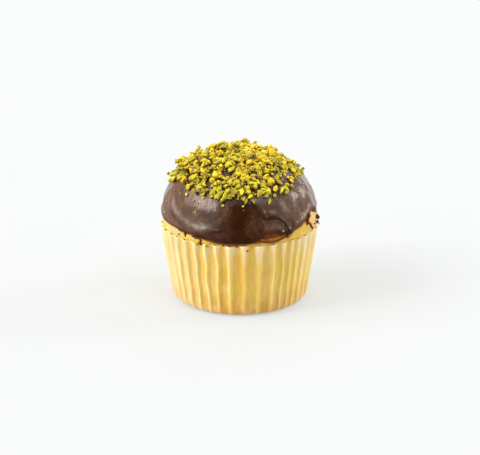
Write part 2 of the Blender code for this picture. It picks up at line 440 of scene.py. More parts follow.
def new_tree(name, inputs):
    """A Geometry Nodes tree with these named inputs, as the tree, its net and the input wires by name."""
    tree = bpy.data.node_groups.new(name, "GeometryNodeTree")
    tree.interface.new_socket("Geometry", in_out="OUTPUT", socket_type="NodeSocketGeometry")
    tree.interface.new_socket("Geometry", in_out="INPUT", socket_type="NodeSocketGeometry")
    for label, kind in inputs.items():
        tree.interface.new_socket(label, in_out="INPUT", socket_type="NodeSocket" + kind)
    net = Net(tree)
    source = tree.nodes.new("NodeGroupInput")
    return tree, net, {socket.name: Wire(net, socket) for socket in source.outputs if socket.name}


def finish_tree(net, geometry, material):
    whole = net.add("GeometryNodeRealizeInstances", values={0: geometry})
    whole = net.add("GeometryNodeSetMaterial", values={"Geometry": whole, "Material": material})
    net.add("NodeGroupOutput", values={0: whole})


def grow(piece, tree, values):
    """Puts the tree on the piece as a modifier, with its inputs set by their identifiers."""
    if not piece.data.materials:
        piece.data.materials.append(values["Material"])
    modifier = piece.modifiers.new(tree.name, "NODES")
    modifier.node_group = tree
    for item in tree.interface.items_tree:
        if item.in_out == "INPUT" and item.name in values:
            modifier[item.identifier] = values[item.name]


def settle(piece):
    """Replaces the piece's mesh by its evaluated one and takes its modifiers off."""
    graph = bpy.context.evaluated_depsgraph_get()
    evaluated = piece.evaluated_get(graph)
    mesh = bpy.data.meshes.new_from_object(evaluated, preserve_all_data_layers=True, depsgraph=graph)
    finish = next(material for material in mesh.materials if material)
    mesh.materials.clear()
    mesh.materials.append(finish)
    piece.modifiers.clear()
    piece.data = mesh
    mesh.name = piece.name


# ---------------------------------------------------------------- settings


def length(label, about, default):
    return FloatProperty(name=label, description=about, default=default, min=0, unit="LENGTH", precision=5)


def number(label, about, default):
    return IntProperty(name=label, description=about, default=default, min=0)


def colour(label, about, default):
    return FloatVectorProperty(name=label, description=about, default=default, subtype="COLOR", min=0, max=1)


class PaperSettings(bpy.types.PropertyGroup):
    height: length("Height", "Height of the case's rim above the table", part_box("paper_case")[1].z)
    foot_radius: length("Foot radius", "Radius of the crests at the foot", 25.0 * MM)
    rim_radius: length("Rim radius", "Radius of the crests at the rim", 29.4 * MM)
    foot_depth: length("Pleat depth at the foot", "How far the valleys lie inside the crests", 0.7 * MM)
    rim_depth: length("Pleat depth at the rim", "How far the valleys lie inside the crests", 1.2 * MM)
    thickness: length("Thickness", "Thickness of the paper with its grease", 0.14 * MM)
    pleats: number("Pleats", "Number of pleats round the case", 40)
    # Also the colour of the painted light on the paper's left side, right side and edges.
    dry: colour("Dry paper", "Colour of the paper that stands off the cake at the rim", (0.92, 0.73, 0.39))
    crest: colour("Crests", "Colour of the crests below the rim", (0.94, 0.70, 0.15))
    greased: colour("Greased paper", "Colour of the paper that lies on the cake", (0.81, 0.482, 0.055))
    browned: colour("Browned paper", "Colour of the greased paper near the foot", (0.67, 0.33, 0.040))


class SpongeSettings(bpy.types.PropertyGroup):
    band_radius: length("Band radius", "Radius of the bare cake between the rim and the icing", 28.65 * MM)
    golden: colour("Golden crumb", "Colour of the bare cake", (0.70, 0.47, 0.09))
    toasted: colour("Toasted crumb", "Colour of the darker crust", (0.80, 0.45, 0.09))
    # Also the colour of the painted shade just below the coat's lip and at the top of the fold's arch.
    stain: colour("Chocolate stain", "Colour where the icing has soaked in", (0.13, 0.036, 0.0025))


class IcingSettings(bpy.types.PropertyGroup):
    radius: length("Radius", "Radius of the dome at its foot", 29.2 * MM)
    top: length("Top", "Height of the dome's top", 54.5 * MM)
    thickness: length("Thickness", "Thickness of the coat", 1.0 * MM)
    dark: colour("Dark chocolate", "Colour of the coat", (0.032, 0.0086, 0.0022))
    # Also the colour of the painted light on the coat's left and right sides, besides its pale patches.
    pale_and_lit: colour("Pale chocolate", "Colour where the coat is thin or dusty", (0.145, 0.050, 0.016))


class PistachioSettings(bpy.types.PropertyGroup):
    longest: length("Longest piece", "Length of the longest chopped piece", 5.0 * MM)
    shortest: length("Shortest large piece", "Length of the shortest of the large pieces", 3.0 * MM)
    lower_limit: length("Lower limit", "Height down to which the nuts lie", 45.2 * MM)
    medium: number("Medium pieces", "Medium pieces to the square centimetre", 23)
    small: number("Small pieces", "Small pieces to the square centimetre", 16)
    dust: number("Dust", "Grains of dust to the square centimetre", 30)
    seed: number("Seed", "Seed of the scatter", NUT_SEED)
    orange: colour("Orange", "Colour of the ripest kernel", (0.88, 0.46, 0.015))
    yellow: colour("Yellow", "Colour of the ripe kernel", (0.88, 0.66, 0.016))
    lime: colour("Lime", "Colour of the greener kernel", (0.75, 0.665, 0.03))
    green: colour("Green", "Colour of the greenest kernel", (0.46, 0.47, 0.025))
    crumb: colour("Crumb", "Colour of the smallest crumbs", (0.82, 0.67, 0.13))
    skin: colour("Skin", "Colour of the papery skin", (0.26, 0.135, 0.035))


class StageSettings(bpy.types.PropertyGroup):
    elevation: FloatProperty(
        name="Elevation",
        description="How far above level the camera stands",
        default=math.radians(19),
        subtype="ANGLE",
    )
    distance: length("Distance", "Distance from the camera to the point that it looks at", 0.6)
    look_height: length("Look height", "Height of the point that the camera looks at", 25.8 * MM)
    floor: colour("Floor", "Colour of the floor", (0.265, 0.269, 0.268))
    glow: FloatProperty(name="Glow", description="Light that comes through the floor", default=0.49, min=0)
    light: FloatProperty(name="Light", description="Strength of the tent of light", default=1.0, min=0)


# ---------------------------------------------------------------- camera


def camera_place(stage):
    """The camera's place and its right, up and forward directions."""
    back = Vector((0, -math.cos(stage.elevation), math.sin(stage.elevation)))
    place = Vector((0, 0, stage.look_height)) + back * stage.distance
    right = Vector((1, 0, 0))
    return place, right, right.cross(-back), -back


def seen_at(stage, tree, x, y):
    """The point and the normal of the surface that the photograph shows at a pixel."""
    place, right, up, forward = camera_place(stage)
    ray = forward + right * ((x - FRAME_WIDTH / 2) / FOCAL) + up * ((FRAME_HEIGHT / 2 - y) / FOCAL)
    point, normal, _, _ = tree.ray_cast(place, ray.normalized())
    if point is None:
        raise RuntimeError(f"nothing is seen at pixel {x}, {y}")
    return point, normal


# ---------------------------------------------------------------- paper


# Colours that the greased paper turns to in places: amber, lemon and warm. LIT_CREST and LIT_EDGE are painted
# light on the crests of the left side and near the edges, and FOOT_SHADE is painted shade along the foot.
AMBER, LEMON, WARM = (0.86, 0.42, 0.05), (0.82, 0.61, 0.045), (0.96, 0.62, 0.06)
LIT_CREST, LIT_EDGE, FOOT_SHADE = (0.775, 0.615, 0.215), (0.84, 0.74, 0.48), (0.20, 0.12, 0.02)


def paper_material(paper):
    material, net = new_material("greased_paper")
    place = net.place()
    crest, rise, chance = net.attribute("crest"), net.attribute("rise"), net.attribute("chance")
    across = net.split(place)
    fibres = net.noise(net.stretched(place, 1, 1, 0.12), 0.5 * MM, 3, 0.6)
    blotches = net.noise(net.stretched(place, 1, 1, 0.45), 3.2 * MM, 3, 0.55)
    other_chance = net.math("FRACT", chance * 7.3)
    flare = net.smooth(0.62 + 0.26 * chance, 1.05, rise)
    limit = 0.95 - flare * (0.36 + 0.34 * other_chance) - 0.2 * (other_chance - 0.5)
    front = net.smooth(2 * MM, -15 * MM, across.also("Y"))
    # Painted light: the left side, most at the front, is paler, as the strong light from the left makes it.
    lit_left_side = net.smooth(-4 * MM, -24 * MM, across) * (0.2 + 0.8 * front)
    flank = 1 - 0.8 * net.smooth(0.70, 0.98, crest)
    ragged = crest + flank * (0.44 * (blotches - 0.5) + 0.20 * (fibres - 0.5))
    dry = net.smooth(limit - 0.32, limit + 0.14, ragged)
    brown = net.smooth(0.36, 0.0, rise + 0.26 * (blotches - 0.5))
    patches = net.noise(net.stretched(place, 1, 1, 0.22), 2.0 * MM, 3, 0.6)
    greased = net.colour_mix(net.smooth(0.50, 0.66, patches) * 0.75, paper.greased, AMBER)
    above_foot = net.smooth(0.12, 0.45, rise)
    right = net.smooth(2 * MM, 20 * MM, across)
    lemon = net.smooth(0.50 + 0.12 * right, 0.34 + 0.10 * right, patches) * (0.75 * above_foot)
    greased = net.colour_mix(lemon, greased, LEMON)
    greased = net.colour_mix(right * 0.35, greased, WARM)
    greased = net.colour_mix(brown * 0.95, greased, paper.browned)
    # Painted sheen: paler towards the left and right edges, as light grazing the paper makes it.
    painted_edge_sheen = net.smooth(19 * MM, 29 * MM, net.math("ABSOLUTE", across)) * above_foot * front
    # Paler in random blotches, and with painted light on the left side, near the edges and on the right side.
    paler_and_lit = net.smooth(0.42, 0.75, blotches) * 0.35 + lit_left_side * 0.32
    paler_and_lit = paler_and_lit + painted_edge_sheen * 0.34 + right * above_foot * 0.12
    greased = net.colour_mix(paler_and_lit, greased, paper.dry)
    streaks = net.smooth(0.56, 0.75, fibres) * 0.25
    greased = net.colour_mix(streaks, greased, paper.dry)
    crests = net.colour_mix(net.smooth(0.62, 0.92, rise), paper.crest, paper.dry)
    # Painted light on the crests of the left side.
    crests = net.colour_mix(lit_left_side * 0.8, crests, LIT_CREST)
    tint = net.colour_mix(dry * (0.62 + 0.36 * flare), greased, crests)
    # Painted sheen near the edges.
    tint = net.colour_mix(painted_edge_sheen * 0.3, tint, LIT_EDGE)
    # Painted shade along the foot, where the paper meets the floor.
    tint = net.colour_mix(net.smooth(0.030, 0.002, rise) * 0.8, tint, FOOT_SHADE)
    grain = net.noise(place, 0.16 * MM, 2)
    finish_material(
        net,
        {
            "Base Color": tint,
            "Roughness": 0.40 + 0.24 * dry + 0.12 * (fibres - 0.5),
            "Specular IOR Level": 0.45,
            "Sheen Weight": 0.6,
            "Sheen Roughness": 0.45,
            "Normal": net.relief(0.6 * fibres + 0.4 * grain, 0.05 * MM),
        },
    )
    return material


PAPER_SIZES = "Height", "Foot Radius", "Rim Radius", "Foot Depth", "Rim Depth"


def paper_tree(columns, floor_rows, corner_rows, wall_rows):
    """A flat grid wrapped into the case: x goes round it, y from the middle of its floor up to the rim."""
    sizes = dict.fromkeys((*PAPER_SIZES, "Corner", "Waver", "Crumple"), "Float")
    kinds = {"Pleats": "Int", **sizes, "Seed": "Int", "Material": "Material"}
    tree, net, given = new_tree("pleated_case", kinds)
    rows = floor_rows + corner_rows + wall_rows
    size = {"Size X": 1.0, "Size Y": 1.0, "Vertices X": columns + 1, "Vertices Y": rows + 1}
    grid = net.add("GeometryNodeMeshGrid", values=size)
    flat = net.add("GeometryNodeInputPosition")
    across = net.split(flat)
    turn = across * 360
    row = (across.also("Y") + 0.5) * rows
    on_floor = net.math("MINIMUM", row / floor_rows, 1)
    in_corner = net.add("ShaderNodeClamp", values={0: (row - floor_rows) / corner_rows})
    on_wall = net.math("MAXIMUM", (row - floor_rows - corner_rows) / wall_rows, 0)

    angle = turn * math.radians(1)
    shift = PLEAT_SHIFT
    for centre, width, degrees in FRONT_SHIFTS:
        shift = net.bump(turn, centre, width) * degrees + shift
    back = 0.0
    for waves, phase, degrees in BACK_SHIFTS:
        back = net.math("SINE", angle * waves + phase) * degrees + back
    azimuth = turn + shift + back * (1 - net.math("COSINE", angle)) * 0.5

    bend = in_corner * (math.pi / 2)
    height = given["Corner"] * (1 - net.math("COSINE", bend)) + on_wall * (given["Height"] - given["Corner"])
    rise = height / given["Height"]
    round_place = net.combine(net.math("SINE", angle), net.math("COSINE", angle), rise * 0.9)
    waver = net.noise(round_place, 0.28, 1) - 0.5
    azimuth = azimuth + waver * given["Waver"] * net.smooth(0.0, 0.3, rise)

    cosine = 0.5 + 0.5 * net.math("COSINE", angle * given["Pleats"])
    number = net.math("ROUND", turn * given["Pleats"] / 360)
    number = net.math("FLOORED_MODULO", number, given["Pleats"])
    drawn = {"ID": number, "Seed": given["Seed"]}
    chance = net.add("FunctionNodeRandomValue", {"data_type": "FLOAT"}, drawn, 1)
    flare = net.smooth(0.72, 1.0, rise)
    swell = cosine ** (2.7 - 1.3 * flare) * (0.78 + 0.34 * chance)
    crest = given["Foot Radius"] + rise * (given["Rim Radius"] - given["Foot Radius"])
    depth = given["Foot Depth"] + rise * (given["Rim Depth"] - given["Foot Depth"])
    depth = depth * (0.3 + 0.7 * net.smooth(0.02, 0.20, rise))
    heading = azimuth * math.radians(1)
    lean = CASE_LEAN * rise * net.math("SINE", heading)
    corner = given["Corner"] * (1 - net.math("SINE", bend))
    radius = (crest - lean - depth * (1 - swell) - corner) * on_floor
    uneven = net.math("SINE", angle * 13 + 0.7) + net.math("SINE", angle * 29 + 2.0) + 3 * (chance - 0.5)
    height = height + on_wall**6 * uneven * (0.09 * MM)
    sine, cosine_heading = net.math("SINE", heading), net.math("COSINE", heading)
    wrapped = net.combine(radius * sine, radius * cosine_heading * -1, height)

    sheet = grid
    for label, value in (("crest", cosine), ("rise", rise), ("chance", chance)):
        sheet = net.store(sheet, label, value)
    sheet = net.add("GeometryNodeSetPosition", values={"Geometry": sheet, "Position": wrapped})
    sheet = net.add("GeometryNodeMergeByDistance", values={"Geometry": sheet, "Distance": 0.01 * MM})
    wrinkles = net.noise(net.stretched(flat, 1, 1, 0.3), 1.3 * MM, 2) - 0.5
    push = net.scaled(net.add("GeometryNodeInputNormal"), wrinkles * given["Crumple"])
    push = net.scaled(push, net.smooth(0.05, 0.2, net.told("rise")))
    sheet = net.add("GeometryNodeSetPosition", values={"Geometry": sheet, "Offset": push})
    sheet = net.add("GeometryNodeSetShadeSmooth", values={0: sheet})
    finish_tree(net, sheet, given["Material"])
    return tree


class CUPCAKE_OT_paper(bpy.types.Operator):
    """Make the pleated paper case"""

    bl_idname = "cupcake.paper"
    bl_label = "Paper case"

    def execute(self, context):
        paper = context.scene.cupcake_paper
        piece = new_object("pleated_paper", bpy.data.meshes.new("pleated_paper"))
        values = {name: getattr(paper, name.lower().replace(" ", "_")) for name in ("Pleats", *PAPER_SIZES)}
        values.update({"Corner": CASE_CORNER, "Waver": CASE_WAVER, "Crumple": CASE_CRUMPLE})
        values.update({"Seed": CASE_SEED, "Material": paper_material(paper)})
        grow(piece, paper_tree(columns=1000, floor_rows=3, corner_rows=5, wall_rows=32), values)
        wall = piece.modifiers.new("thickness", "SOLIDIFY")
        wall.thickness = paper.thickness
        wall.offset = -1
        settle(piece)
        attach(piece, "root")
        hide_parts("paper_case")
        return {"FINISHED"}


# ---------------------------------------------------------------- sponge


SPOTS = (  # azimuth, height, reach in millimetres and colour
    (-46, 29.4, 2.0, (0.85, 0.50, 0.05)), (-31, 29.0, 2.0, (0.80, 0.52, 0.06)),
    (-6, 28.9, 2.6, (0.66, 0.27, 0.04)), (10, 29.3, 2.4, (0.70, 0.40, 0.05)),
    (-18, 28.8, 2.0, (0.74, 0.40, 0.07)), (45, 30.4, 2.0, (0.70, 0.52, 0.05)),
)
# The first two are painted light: the cake paler on its left side and at its right edge. The lemon one is a
# tone of the cake itself.
LEFT_LIT_CRUMB, RIGHT_SHEEN_CRUMB, LEMON_CRUMB = (0.61, 0.485, 0.27), (0.78, 0.58, 0.38), (0.80, 0.62, 0.07)
BRIGHT_STAIN = (0.44, 0.145, 0.009)


def sponge_material(sponge):
    material, net = new_material("golden_sponge")
    place = net.place()
    stain, toast = net.attribute("stain"), net.attribute("toast")
    patches = net.noise(place, 2.4 * MM, 3, 0.6)
    crumb = net.noise(place, 0.45 * MM, 4, 0.65)
    crust = net.smooth(0.35, 0.72, 0.6 * patches + 0.4 * crumb + 0.35 * toast)
    tint = net.colour_mix(crust * 0.8, sponge.golden, sponge.toasted)
    across = net.split(place)
    # Painted light: the cake is paler on its left side, where the strong light falls; the crumb adds real
    # random paleness.
    left = net.smooth(-13 * MM, -24 * MM, across)
    pale_and_lit = net.smooth(0.58, 0.72, crumb) * 0.35 + left * 0.65
    tint = net.colour_mix(pale_and_lit, tint, LEFT_LIT_CRUMB)
    # Painted sheen: paler at the right edge, as grazing light makes it.
    right = net.smooth(25 * MM, 28.5 * MM, across)
    tint = net.colour_mix(right * 0.8, tint, RIGHT_SHEEN_CRUMB)
    for azimuth, height, reach, shade in SPOTS:
        away = net.distance(place, at(azimuth, sponge.band_radius, height * MM))
        spot = net.smooth(reach * MM, 0.2 * reach * MM, away + 2.0 * MM * (patches - 0.5))
        tint = net.colour_mix(spot * 0.8, tint, shade)
    lemon = net.smooth(0.56, 0.70, net.noise(place, 3.4 * MM, 1)) * 0.6
    tint = net.colour_mix(lemon, tint, LEMON_CRUMB)
    # The soaked cake holds a real chocolate stain under the fold's arch, and painted shade just below the
    # coat's lip. The lower part of the arch turns orange, and its top stays dark as painted shade under the
    # coat.
    soaked_and_shaded = net.smooth(0.15, 0.75, stain + 0.5 * (patches - 0.5) + 0.3 * (crumb - 0.5))
    low = net.smooth(31.6 * MM, 30.2 * MM, across.also("Z"))
    orange = net.smooth(0.40, 0.66, 0.5 * patches + 0.42 * low)
    wet = net.colour_mix(orange, sponge.stain, BRIGHT_STAIN)
    tint = net.colour_mix(soaked_and_shaded, tint, wet)
    finish_material(
        net,
        {
            "Base Color": tint,
            "Roughness": 0.62 + 0.3 * (crumb - 0.5) - 0.2 * soaked_and_shaded,
            "Specular IOR Level": 0.12,
            "Subsurface Weight": 0.12,
            "Subsurface Radius": (1.0, 0.55, 0.2),
            "Subsurface Scale": 1.5 * MM,
            "Normal": net.relief(crumb, 0.22 * MM),
        },
    )
    return material


def sponge_radius(paper, sponge, icing, nominal, height):
    """The cake's outside: inside the paper, then bulging over the rim, then under the icing."""
    azimuth = column_azimuth(nominal)
    inside = case_radius(paper, nominal, min(height, paper.height)) - paper.thickness - CAKE_CLEARANCE
    band = sponge.band_radius + 0.12 * MM * math.sin(math.radians(5 * azimuth + 40))
    band -= 0.05 * MM * ((height - 30.5 * MM) / MM) ** 2 * smooth(29 * MM, 33 * MM, height)
    over_rim = smooth(paper.height - 0.6 * MM, paper.height + 0.5 * MM, height)
    bare = inside + over_rim * (band - inside)
    above = height - coat_edge(azimuth)
    fold = min(fold_relief(azimuth, height), 0)
    bare += fold - 0.25 * MM * smooth(-0.9 * MM, 0.1 * MM, above)
    if above < 0.2 * MM:
        return bare
    coat = dome_radius(icing, height) + fold
    under = coat - (icing.thickness + CAKE_BELOW_COAT) * smooth(0.2 * MM, 2.2 * MM, above) - 0.35 * MM
    return min(bare, under)


def sponge_mesh(paper, sponge, icing, columns):
    heights = [FINE_TOP + (CAKE_TOP - FINE_TOP) * step for step in (0.995, 0.95, 0.85, 0.7, 0.5, 0.3, 0.12)]
    heights += [FINE_FOOT + (FINE_TOP - FINE_FOOT) * (1 - step / 44) for step in range(45)]
    heights += [CAKE_FOOT + (FINE_FOOT - CAKE_FOOT) * (1 - step / 14) for step in range(1, 15)]
    rings, stains_and_shades, toasts = [[Vector((0, 0, CAKE_TOP))]], [0.0], [0.0]
    for height in heights:
        ring = []
        for column in range(columns):
            nominal = half_turn(column * 360 / columns)
            azimuth = column_azimuth(nominal)
            radius = sponge_radius(paper, sponge, icing, nominal, height)
            place = at(azimuth, radius, height)
            crumb = 0.16 * noise.noise(place / (1.1 * MM)) + 0.09 * noise.noise(place / (0.5 * MM))
            pit = min(noise.noise(place / (0.8 * MM) + Vector((7, 3, 1))) + 0.35, 0)
            shown = smooth(27.6 * MM, 28.8 * MM, height)
            above = height - coat_edge(azimuth)
            shown *= 1 - 0.7 * smooth(-0.5 * MM, 0.3 * MM, above)
            ring.append(at(azimuth, radius + (crumb + 0.5 * pit) * shown * MM, height))
            # The stain under the fold's arch is real; the share just below the coat's lip is painted shade.
            arch = bump(azimuth, 24, 13, 4) * smooth(28.9 * MM, 29.9 * MM, height)
            lip = smooth(-1.5 * MM, 0.1 * MM, above)
            lip *= 1 - 0.85 * smooth(-26, -40, azimuth)
            stains_and_shades.append(min(0.95 * arch + 0.6 * lip, 1))
            toasts.append(smooth(29.5 * MM, 33 * MM, height))
        rings.append(ring)
    rings.append([Vector((0, 0, CAKE_FOOT))])
    stains_and_shades.append(0.0)
    toasts.append(0.0)
    return ring_mesh("golden_sponge", rings, {"stain": stains_and_shades, "toast": toasts})


class CUPCAKE_OT_sponge(bpy.types.Operator):
    """Make the sponge cake"""

    bl_idname = "cupcake.sponge"
    bl_label = "Sponge cake"

    def execute(self, context):
        scene = context.scene
        mesh = sponge_mesh(scene.cupcake_paper, scene.cupcake_sponge, scene.cupcake_icing, columns=720)
        piece = new_object("golden_sponge", mesh)
        mesh.materials.append(sponge_material(scene.cupcake_sponge))
        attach(piece, "root")
        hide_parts("sponge_cake")
        return {"FINISHED"}


# ---------------------------------------------------------------- chocolate


# Patches with the dust of the nuts: azimuth, height and reach in millimetres.
DUSTY = (-35.5, 39.3, 2.0), (-37.5, 43.2, 2.4), (-60.0, 43.0, 1.5), (18.0, 41.0, 1.6), (33.0, 35.6, 1.7)
NUT_DUST = (0.26, 0.24, 0.07)
WET_CHOCOLATE = (0.080, 0.0250, 0.0060), (0.19, 0.068, 0.0140)


def wet_chocolate_material():
    """The dark thin chocolate of the drips."""
    material, net = new_material("wet_chocolate")
    mottle = net.noise(net.place(), 0.8 * MM, 2)
    tint = net.colour_mix(mottle, *WET_CHOCOLATE)
    finish_material(net, {"Base Color": tint, "Roughness": 0.40 + 0.2 * mottle, "Specular IOR Level": 0.12})
    return material


def chocolate_material(icing):
    material, net = new_material("satin_chocolate")
    place = net.place()
    clouds = net.noise(place, 6 * MM, 3, 0.55)
    mottle = net.noise(place, 1.1 * MM, 3, 0.6)
    grain = net.noise(place, 0.22 * MM, 2, 0.6)
    across = net.split(place)
    off_middle = net.math("ABSOLUTE", across)
    # The coat is paler in random patches, and with painted light towards its left and right sides.
    pale_and_lit = net.smooth(0.40, 0.85, 0.55 * clouds + 0.35 * mottle + off_middle * (0.24 / icing.radius))
    tint = net.colour_mix(pale_and_lit, icing.dark, icing.pale_and_lit)
    for azimuth, height, reach in DUSTY:
        away = net.distance(place, at(azimuth, dome_radius(icing, height * MM), height * MM))
        dusty = net.smooth(reach * MM, 0.3 * reach * MM, away) * net.smooth(0.42, 0.60, mottle)
        tint = net.colour_mix(dusty * 0.55, tint, NUT_DUST)
    flanks = net.smooth(9 * MM, 18 * MM, off_middle) * net.smooth(42 * MM, 36 * MM, across.also("Z"))
    finish_material(
        net,
        {
            "Base Color": tint,
            "Roughness": 0.175 + 0.18 * (clouds - 0.5) + 0.14 * (mottle - 0.5) + 0.09 * flanks,
            "IOR": 1.45,
            "Specular IOR Level": 0.55,
            "Specular Tint": (1.0, 0.91, 0.81, 1),
            "Normal": net.relief(0.7 * mottle + 0.3 * grain, 0.11 * MM),
        },
    )
    return material


def fold_relief(azimuth, height):
    """The torn flap at the right of the front: a lip and a groove over a panel that lies deeper."""
    crease = 37.7 * MM - 0.8 * MM * (max(azimuth - 20, 0) / 10.4) ** 3.8
    across = smooth(16.2, 19.0, azimuth) * smooth(38.4, 36.8, azimuth)
    inside = max(azimuth - 18, 0)
    below = smooth(crease + 0.2 * MM, crease - (0.8 + 0.05 * inside) * MM, height)
    panel = -(0.10 + 0.032 * inside) * across * below
    groove = -(0.36 + 0.012 * inside) * across * bump(height, crease - 0.1 * MM, 0.42 * MM)
    lip = 0.26 * across * smooth(37, 29, azimuth) * bump(height, crease + 0.8 * MM, 0.6 * MM)
    depth = (panel + groove) * smooth(30.0 * MM, 32.5 * MM, height + 0.12 * MM * inside)
    return (depth + lip) * MM


# Ridges and hollows of the coat: azimuth, height, half width, half height, lean and size in millimetres.
RIDGES = (
    (26.5, 39.2, 3.0, 1.2, 0.0, 0.52), (31.5, 41.6, 2.4, 3.8, 0.2, 0.18),
    (46.0, 38.5, 2.0, 3.2, 0.15, 0.24), (51.0, 44.0, 2.8, 1.6, 0.3, 0.40),
    (55.0, 40.2, 1.6, 2.6, -0.4, -0.34), (39.8, 35.6, 1.0, 3.0, 0.0, -0.28),
    (68.0, 39.0, 1.7, 4.0, 0.1, 0.30), (-16.0, 34.0, 1.8, 0.4, 0.0, 0.18),
    (-50.0, 41.5, 2.4, 2.8, 0.4, 0.25), (118, 38.0, 1.2, 4.0, 0.2, 0.32),
    (-112, 40.0, 2.4, 2.0, 0.4, 0.30), (165, 39.0, 1.6, 3.6, -0.3, 0.32),
)


def ridge_relief(azimuth, height):
    whole = 0.0
    for centre, level, wide, tall, lean, size in RIDGES:
        rise = height / MM - level
        across = math.radians(half_turn(azimuth - centre)) * 28 + lean * rise
        whole += size * math.exp(-((across / wide) ** 2) - (rise / tall) ** 2)
    return whole


def coat_relief(azimuth, height, place):
    """How far the coat stands out from the smooth dome."""
    above = height - coat_edge(azimuth)
    fade = smooth(54 * MM, 46 * MM, height)
    left = smooth(-78, -60, azimuth) * smooth(-10, -26, azimuth)
    slow = 0.34 * (1 - 0.4 * left) * noise.noise(place / (10 * MM))
    slow += 0.28 * (1 - 0.75 * left) * noise.noise(place / (4.5 * MM) + Vector((3, 1, 7)))
    slow += 0.06 * noise.noise(place / (1.8 * MM))
    roll = 0.26 * bump(above, 1.9 * MM, 1.1 * MM) - 0.14 * bump(above, 4.2 * MM, 1.5 * MM)
    curl = -0.42 * smooth(1.5 * MM, 0.2 * MM, above)
    line = (33.4 + 4.7 * (max(-30 - azimuth, 0) / 32) ** 2.6) * MM
    shoulder = left * (0.52 * bump(height, line, 1.6 * MM) - 0.28 * bump(height, line + 3.6 * MM, 2.0 * MM))
    right = smooth(40, 54, azimuth) * smooth(125, 100, azimuth)
    upright = Vector((place.x, place.y, 0.45 * place.z)) / (2.8 * MM)
    ripples = 0.36 * right * noise.noise(upright)
    ripples *= smooth(49 * MM, 44 * MM, height) * smooth(0.5 * MM, 2.5 * MM, above)
    ridges = ridge_relief(azimuth, height) * fade
    return (slow * fade + roll + curl + shoulder + ripples + ridges) * MM + fold_relief(azimuth, height)


def coat_point(icing, azimuth, height, inset=None, sideways=0.0):
    """A point of the coat, moved in from the dome by the inset and down along it by sideways.

    Without an inset, it stands out by the relief.
    """
    radius = swollen_radius(icing, azimuth, height)
    slope = (swollen_radius(icing, azimuth, height + SLOPE_STEP) - radius) / SLOPE_STEP
    out = Vector((1, -slope)).normalized()
    along = Vector((out.y, -out.x))
    if inset is None:
        inset = -coat_relief(azimuth, height, at(azimuth, radius, height))
    level = radius - inset * out.x + sideways * along.x
    rise = height - inset * out.y + sideways * along.y
    return at(azimuth, max(level, 0), rise)


def lip_points(icing, azimuth, start):
    """The rounded lower edge, from its outside round to the cake."""
    half = 0.5 * icing.thickness
    relief = coat_relief(azimuth, start, at(azimuth, icing.radius, start))
    for step in range(1, 6):
        angle = math.pi * step / 6
        inset = half * (1 - math.cos(angle)) - relief
        yield coat_point(icing, azimuth, start, inset, half * math.sin(angle))


def ragged_edge(azimuth):
    """The coat's lower edge with its small drips and bites."""
    height = coat_edge(azimuth)
    angle = math.radians(azimuth)
    place = Vector((math.sin(angle), math.cos(angle), 0))
    height += 0.25 * MM * noise.noise(place * 6) + 0.10 * MM * noise.noise(place * 15)
    return height - drop_of(EDGE_DRIPS, azimuth)


def coat_mesh(icing, columns):
    """The coat from rings at shares of the way from its edge to its top: even ones low down, and above
    them ones that are evenly spread over the dome as seen from above."""
    whole = icing.top - EDGE_FRONT
    shares = [step * 0.01 for step in range(45)]
    reach = dome_radius(icing, EDGE_FRONT + shares[-1] * whole)
    shares += [(dome_height(icing, reach * (1 - step / 34)) - EDGE_FRONT) / whole for step in range(1, 34)]
    azimuths = [half_turn(column * 360 / columns) for column in range(columns)]
    edge = [(azimuth, ragged_edge(azimuth) + icing.thickness / 2) for azimuth in azimuths]

    def ring(share, inset=None):
        return [coat_point(icing, azimuth, low + share * (icing.top - low), inset) for azimuth, low in edge]

    top = Vector((0, 0, icing.top))
    rings = [[top]]
    rings += [ring(share) for share in reversed(shares)]
    rings += zip(*(lip_points(icing, azimuth, low) for azimuth, low in edge))
    rings += [ring(share, icing.thickness) for share in (0.0, 0.08, 0.2, 0.4, 0.62, 0.8, 0.93)]
    rings.append([top - Vector((0, 0, icing.thickness))])
    return ring_mesh("chocolate_coat", rings)


class CUPCAKE_OT_icing(bpy.types.Operator):
    """Make the chocolate coat"""

    bl_idname = "cupcake.icing"
    bl_label = "Chocolate coat"

    def execute(self, context):
        icing = context.scene.cupcake_icing
        piece = new_object("chocolate_coat", coat_mesh(icing, columns=720))
        piece.data.materials.append(chocolate_material(icing))
        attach(piece, "root")
        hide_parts("chocolate_icing")
        return {"FINISHED"}


# ---------------------------------------------------------------- drips and crumbs of chocolate


